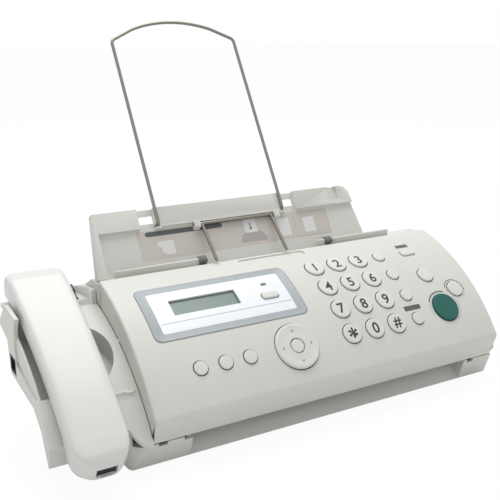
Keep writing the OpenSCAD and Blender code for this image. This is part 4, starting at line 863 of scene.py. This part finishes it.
def in_line(offsets, base):
    """Side-view offsets from a point, as distances along and above the line from nose to ear."""
    offsets = np.asarray(offsets, float) + base - nose_at
    return np.stack([offsets @ run_dir, offsets @ rise_dir], -1)


def bowed(radius, u):
    """Heights of an arc of a radius, concentric with the handset's back, at distances along it."""
    return np.sqrt(np.maximum(radius ** 2 - (u - chord / 2) ** 2, 0)) - sag


def smooth_chain(points, at_u, passes=3):
    """Heights of a chain of points at the stations, averaged a few times with their neighbours."""
    points = points[np.argsort(points[:, 0])]
    z = np.interp(at_u, points[:, 0], points[:, 1])
    for _ in range(passes):
        z[1:-1] = (z[:-2] + 2 * z[1:-1] + z[2:]) / 4
    return z


nose_tip, ear_tip = (-9, -19.5), (23.4, -10)
first_u, last_u = in_line(nose_tip, nose_at)[0], in_line(ear_tip, ear_at)[0]
t = np.linspace(0, 1, 150)
ease = (1 - np.cos(np.pi * t)) / 2
stations = first_u + (last_u - first_u) * (0.35 * ease + 0.65 * t)

nose_top = in_line([nose_tip, (-10.3, -13.5), (-7.3, -6.3), (0, 0.2)], nose_at)
ear_top = in_line([(0.5, 0.4), (10, 1.8), (17, 0.4), (21, -4), ear_tip], ear_at)
back_u = np.linspace(3, chord - 2, 60)
back_line = np.column_stack([back_u, bowed(back_r, back_u)])
top_line = smooth_chain(np.vstack([nose_top, back_line, ear_top]), stations)

nose_under = in_line([nose_tip, (-4.5, -24), (6.5, -25.3), (14, -22.5), (17, -15.5), (18.3, -7.5)], nose_at)
ear_under = in_line([(-16.5, -19.5), (-7.4, -21.6), (20.6, -19.2), ear_tip], ear_at)
grip_u = np.linspace(nose_under[-1, 0] + 4, ear_under[0, 0] - 3, 50)
grip_line = np.column_stack([grip_u, bowed(back_r - grip, grip_u)])
under_line = smooth_chain(np.vstack([nose_under, grip_line, ear_under]), stations)
under_line = np.minimum(under_line, top_line)
under_line[[0, -1]] = top_line[[0, -1]]
seam_line = np.clip(bowed(back_r - seam_depth, stations), under_line, top_line)

share = (stations + nose_end) / (chord + nose_end + ear_end)
width_line = nose_half + (ear_half - nose_half) * np.clip(share, 0, 1)
for depth, end_r in ((stations + nose_end, nose_half), (chord + ear_end - stations, ear_corner)):
    cut_in = end_r - np.clip(depth, 0, end_r)
    width_line -= end_r - np.sqrt(np.maximum(end_r ** 2 - cut_in ** 2, 0))
least_half = 1.2
width_line = np.maximum(width_line, least_half)


def handset_shell(name, node, u, half_width, seam, rim_line, squareness):
    """A lofted shell: at each station half a superellipse from seam to rim, closed across the seam."""
    t = np.linspace(0, np.pi, 49)
    c = np.sign(np.cos(t)) * np.abs(np.cos(t)) ** (2 / squareness)
    s = np.abs(np.sin(t)) ** (2 / squareness)
    x = half_width[:, None] * c
    rise = seam[:, None] + (rim_line - seam)[:, None] * s
    side = nose_at + u[:, None, None] * run_dir + rise[..., None] * rise_dir
    points = np.concatenate([mid_x + x[..., None], side], -1)
    rows, cols = points.shape[:2]
    faces = grid_faces(rows, cols, round_cols=True).tolist()
    faces += [list(range(cols)), list(range((rows - 1) * cols, rows * cols))]
    return closed(name, points, faces, "handset", handset_white, 50, (node,))


least_rise = 0.02
keep = top_line - seam_line > least_rise
kept = slice(np.argmax(keep), len(keep) - np.argmax(keep[::-1]))
upper = handset_shell("handset_back", "handset_top", stations[kept], width_line[kept],
                      seam_line[kept] + seam_gap, top_line[kept], 7.0)
lower = handset_shell("handset_front", "handset_base", stations, width_line - seam_gap,
                      seam_line, under_line, 4.6)
jack_front, jack_back, jack_half = -40.5, -16.5, 6.5
jack_low, jack_high = nose_at[1] - 20.5, nose_at[1] - 14.5
jack_outline = np.array([(jack_front, jack_low), (jack_back, jack_low),
                         (jack_back, jack_high), (jack_front, jack_high)])
for shell in (upper, lower):
    cut(shell, "jack_opening", [side_cut(jack_outline, mid_x - jack_half, mid_x + jack_half)])
    creased(shell.data, 50)
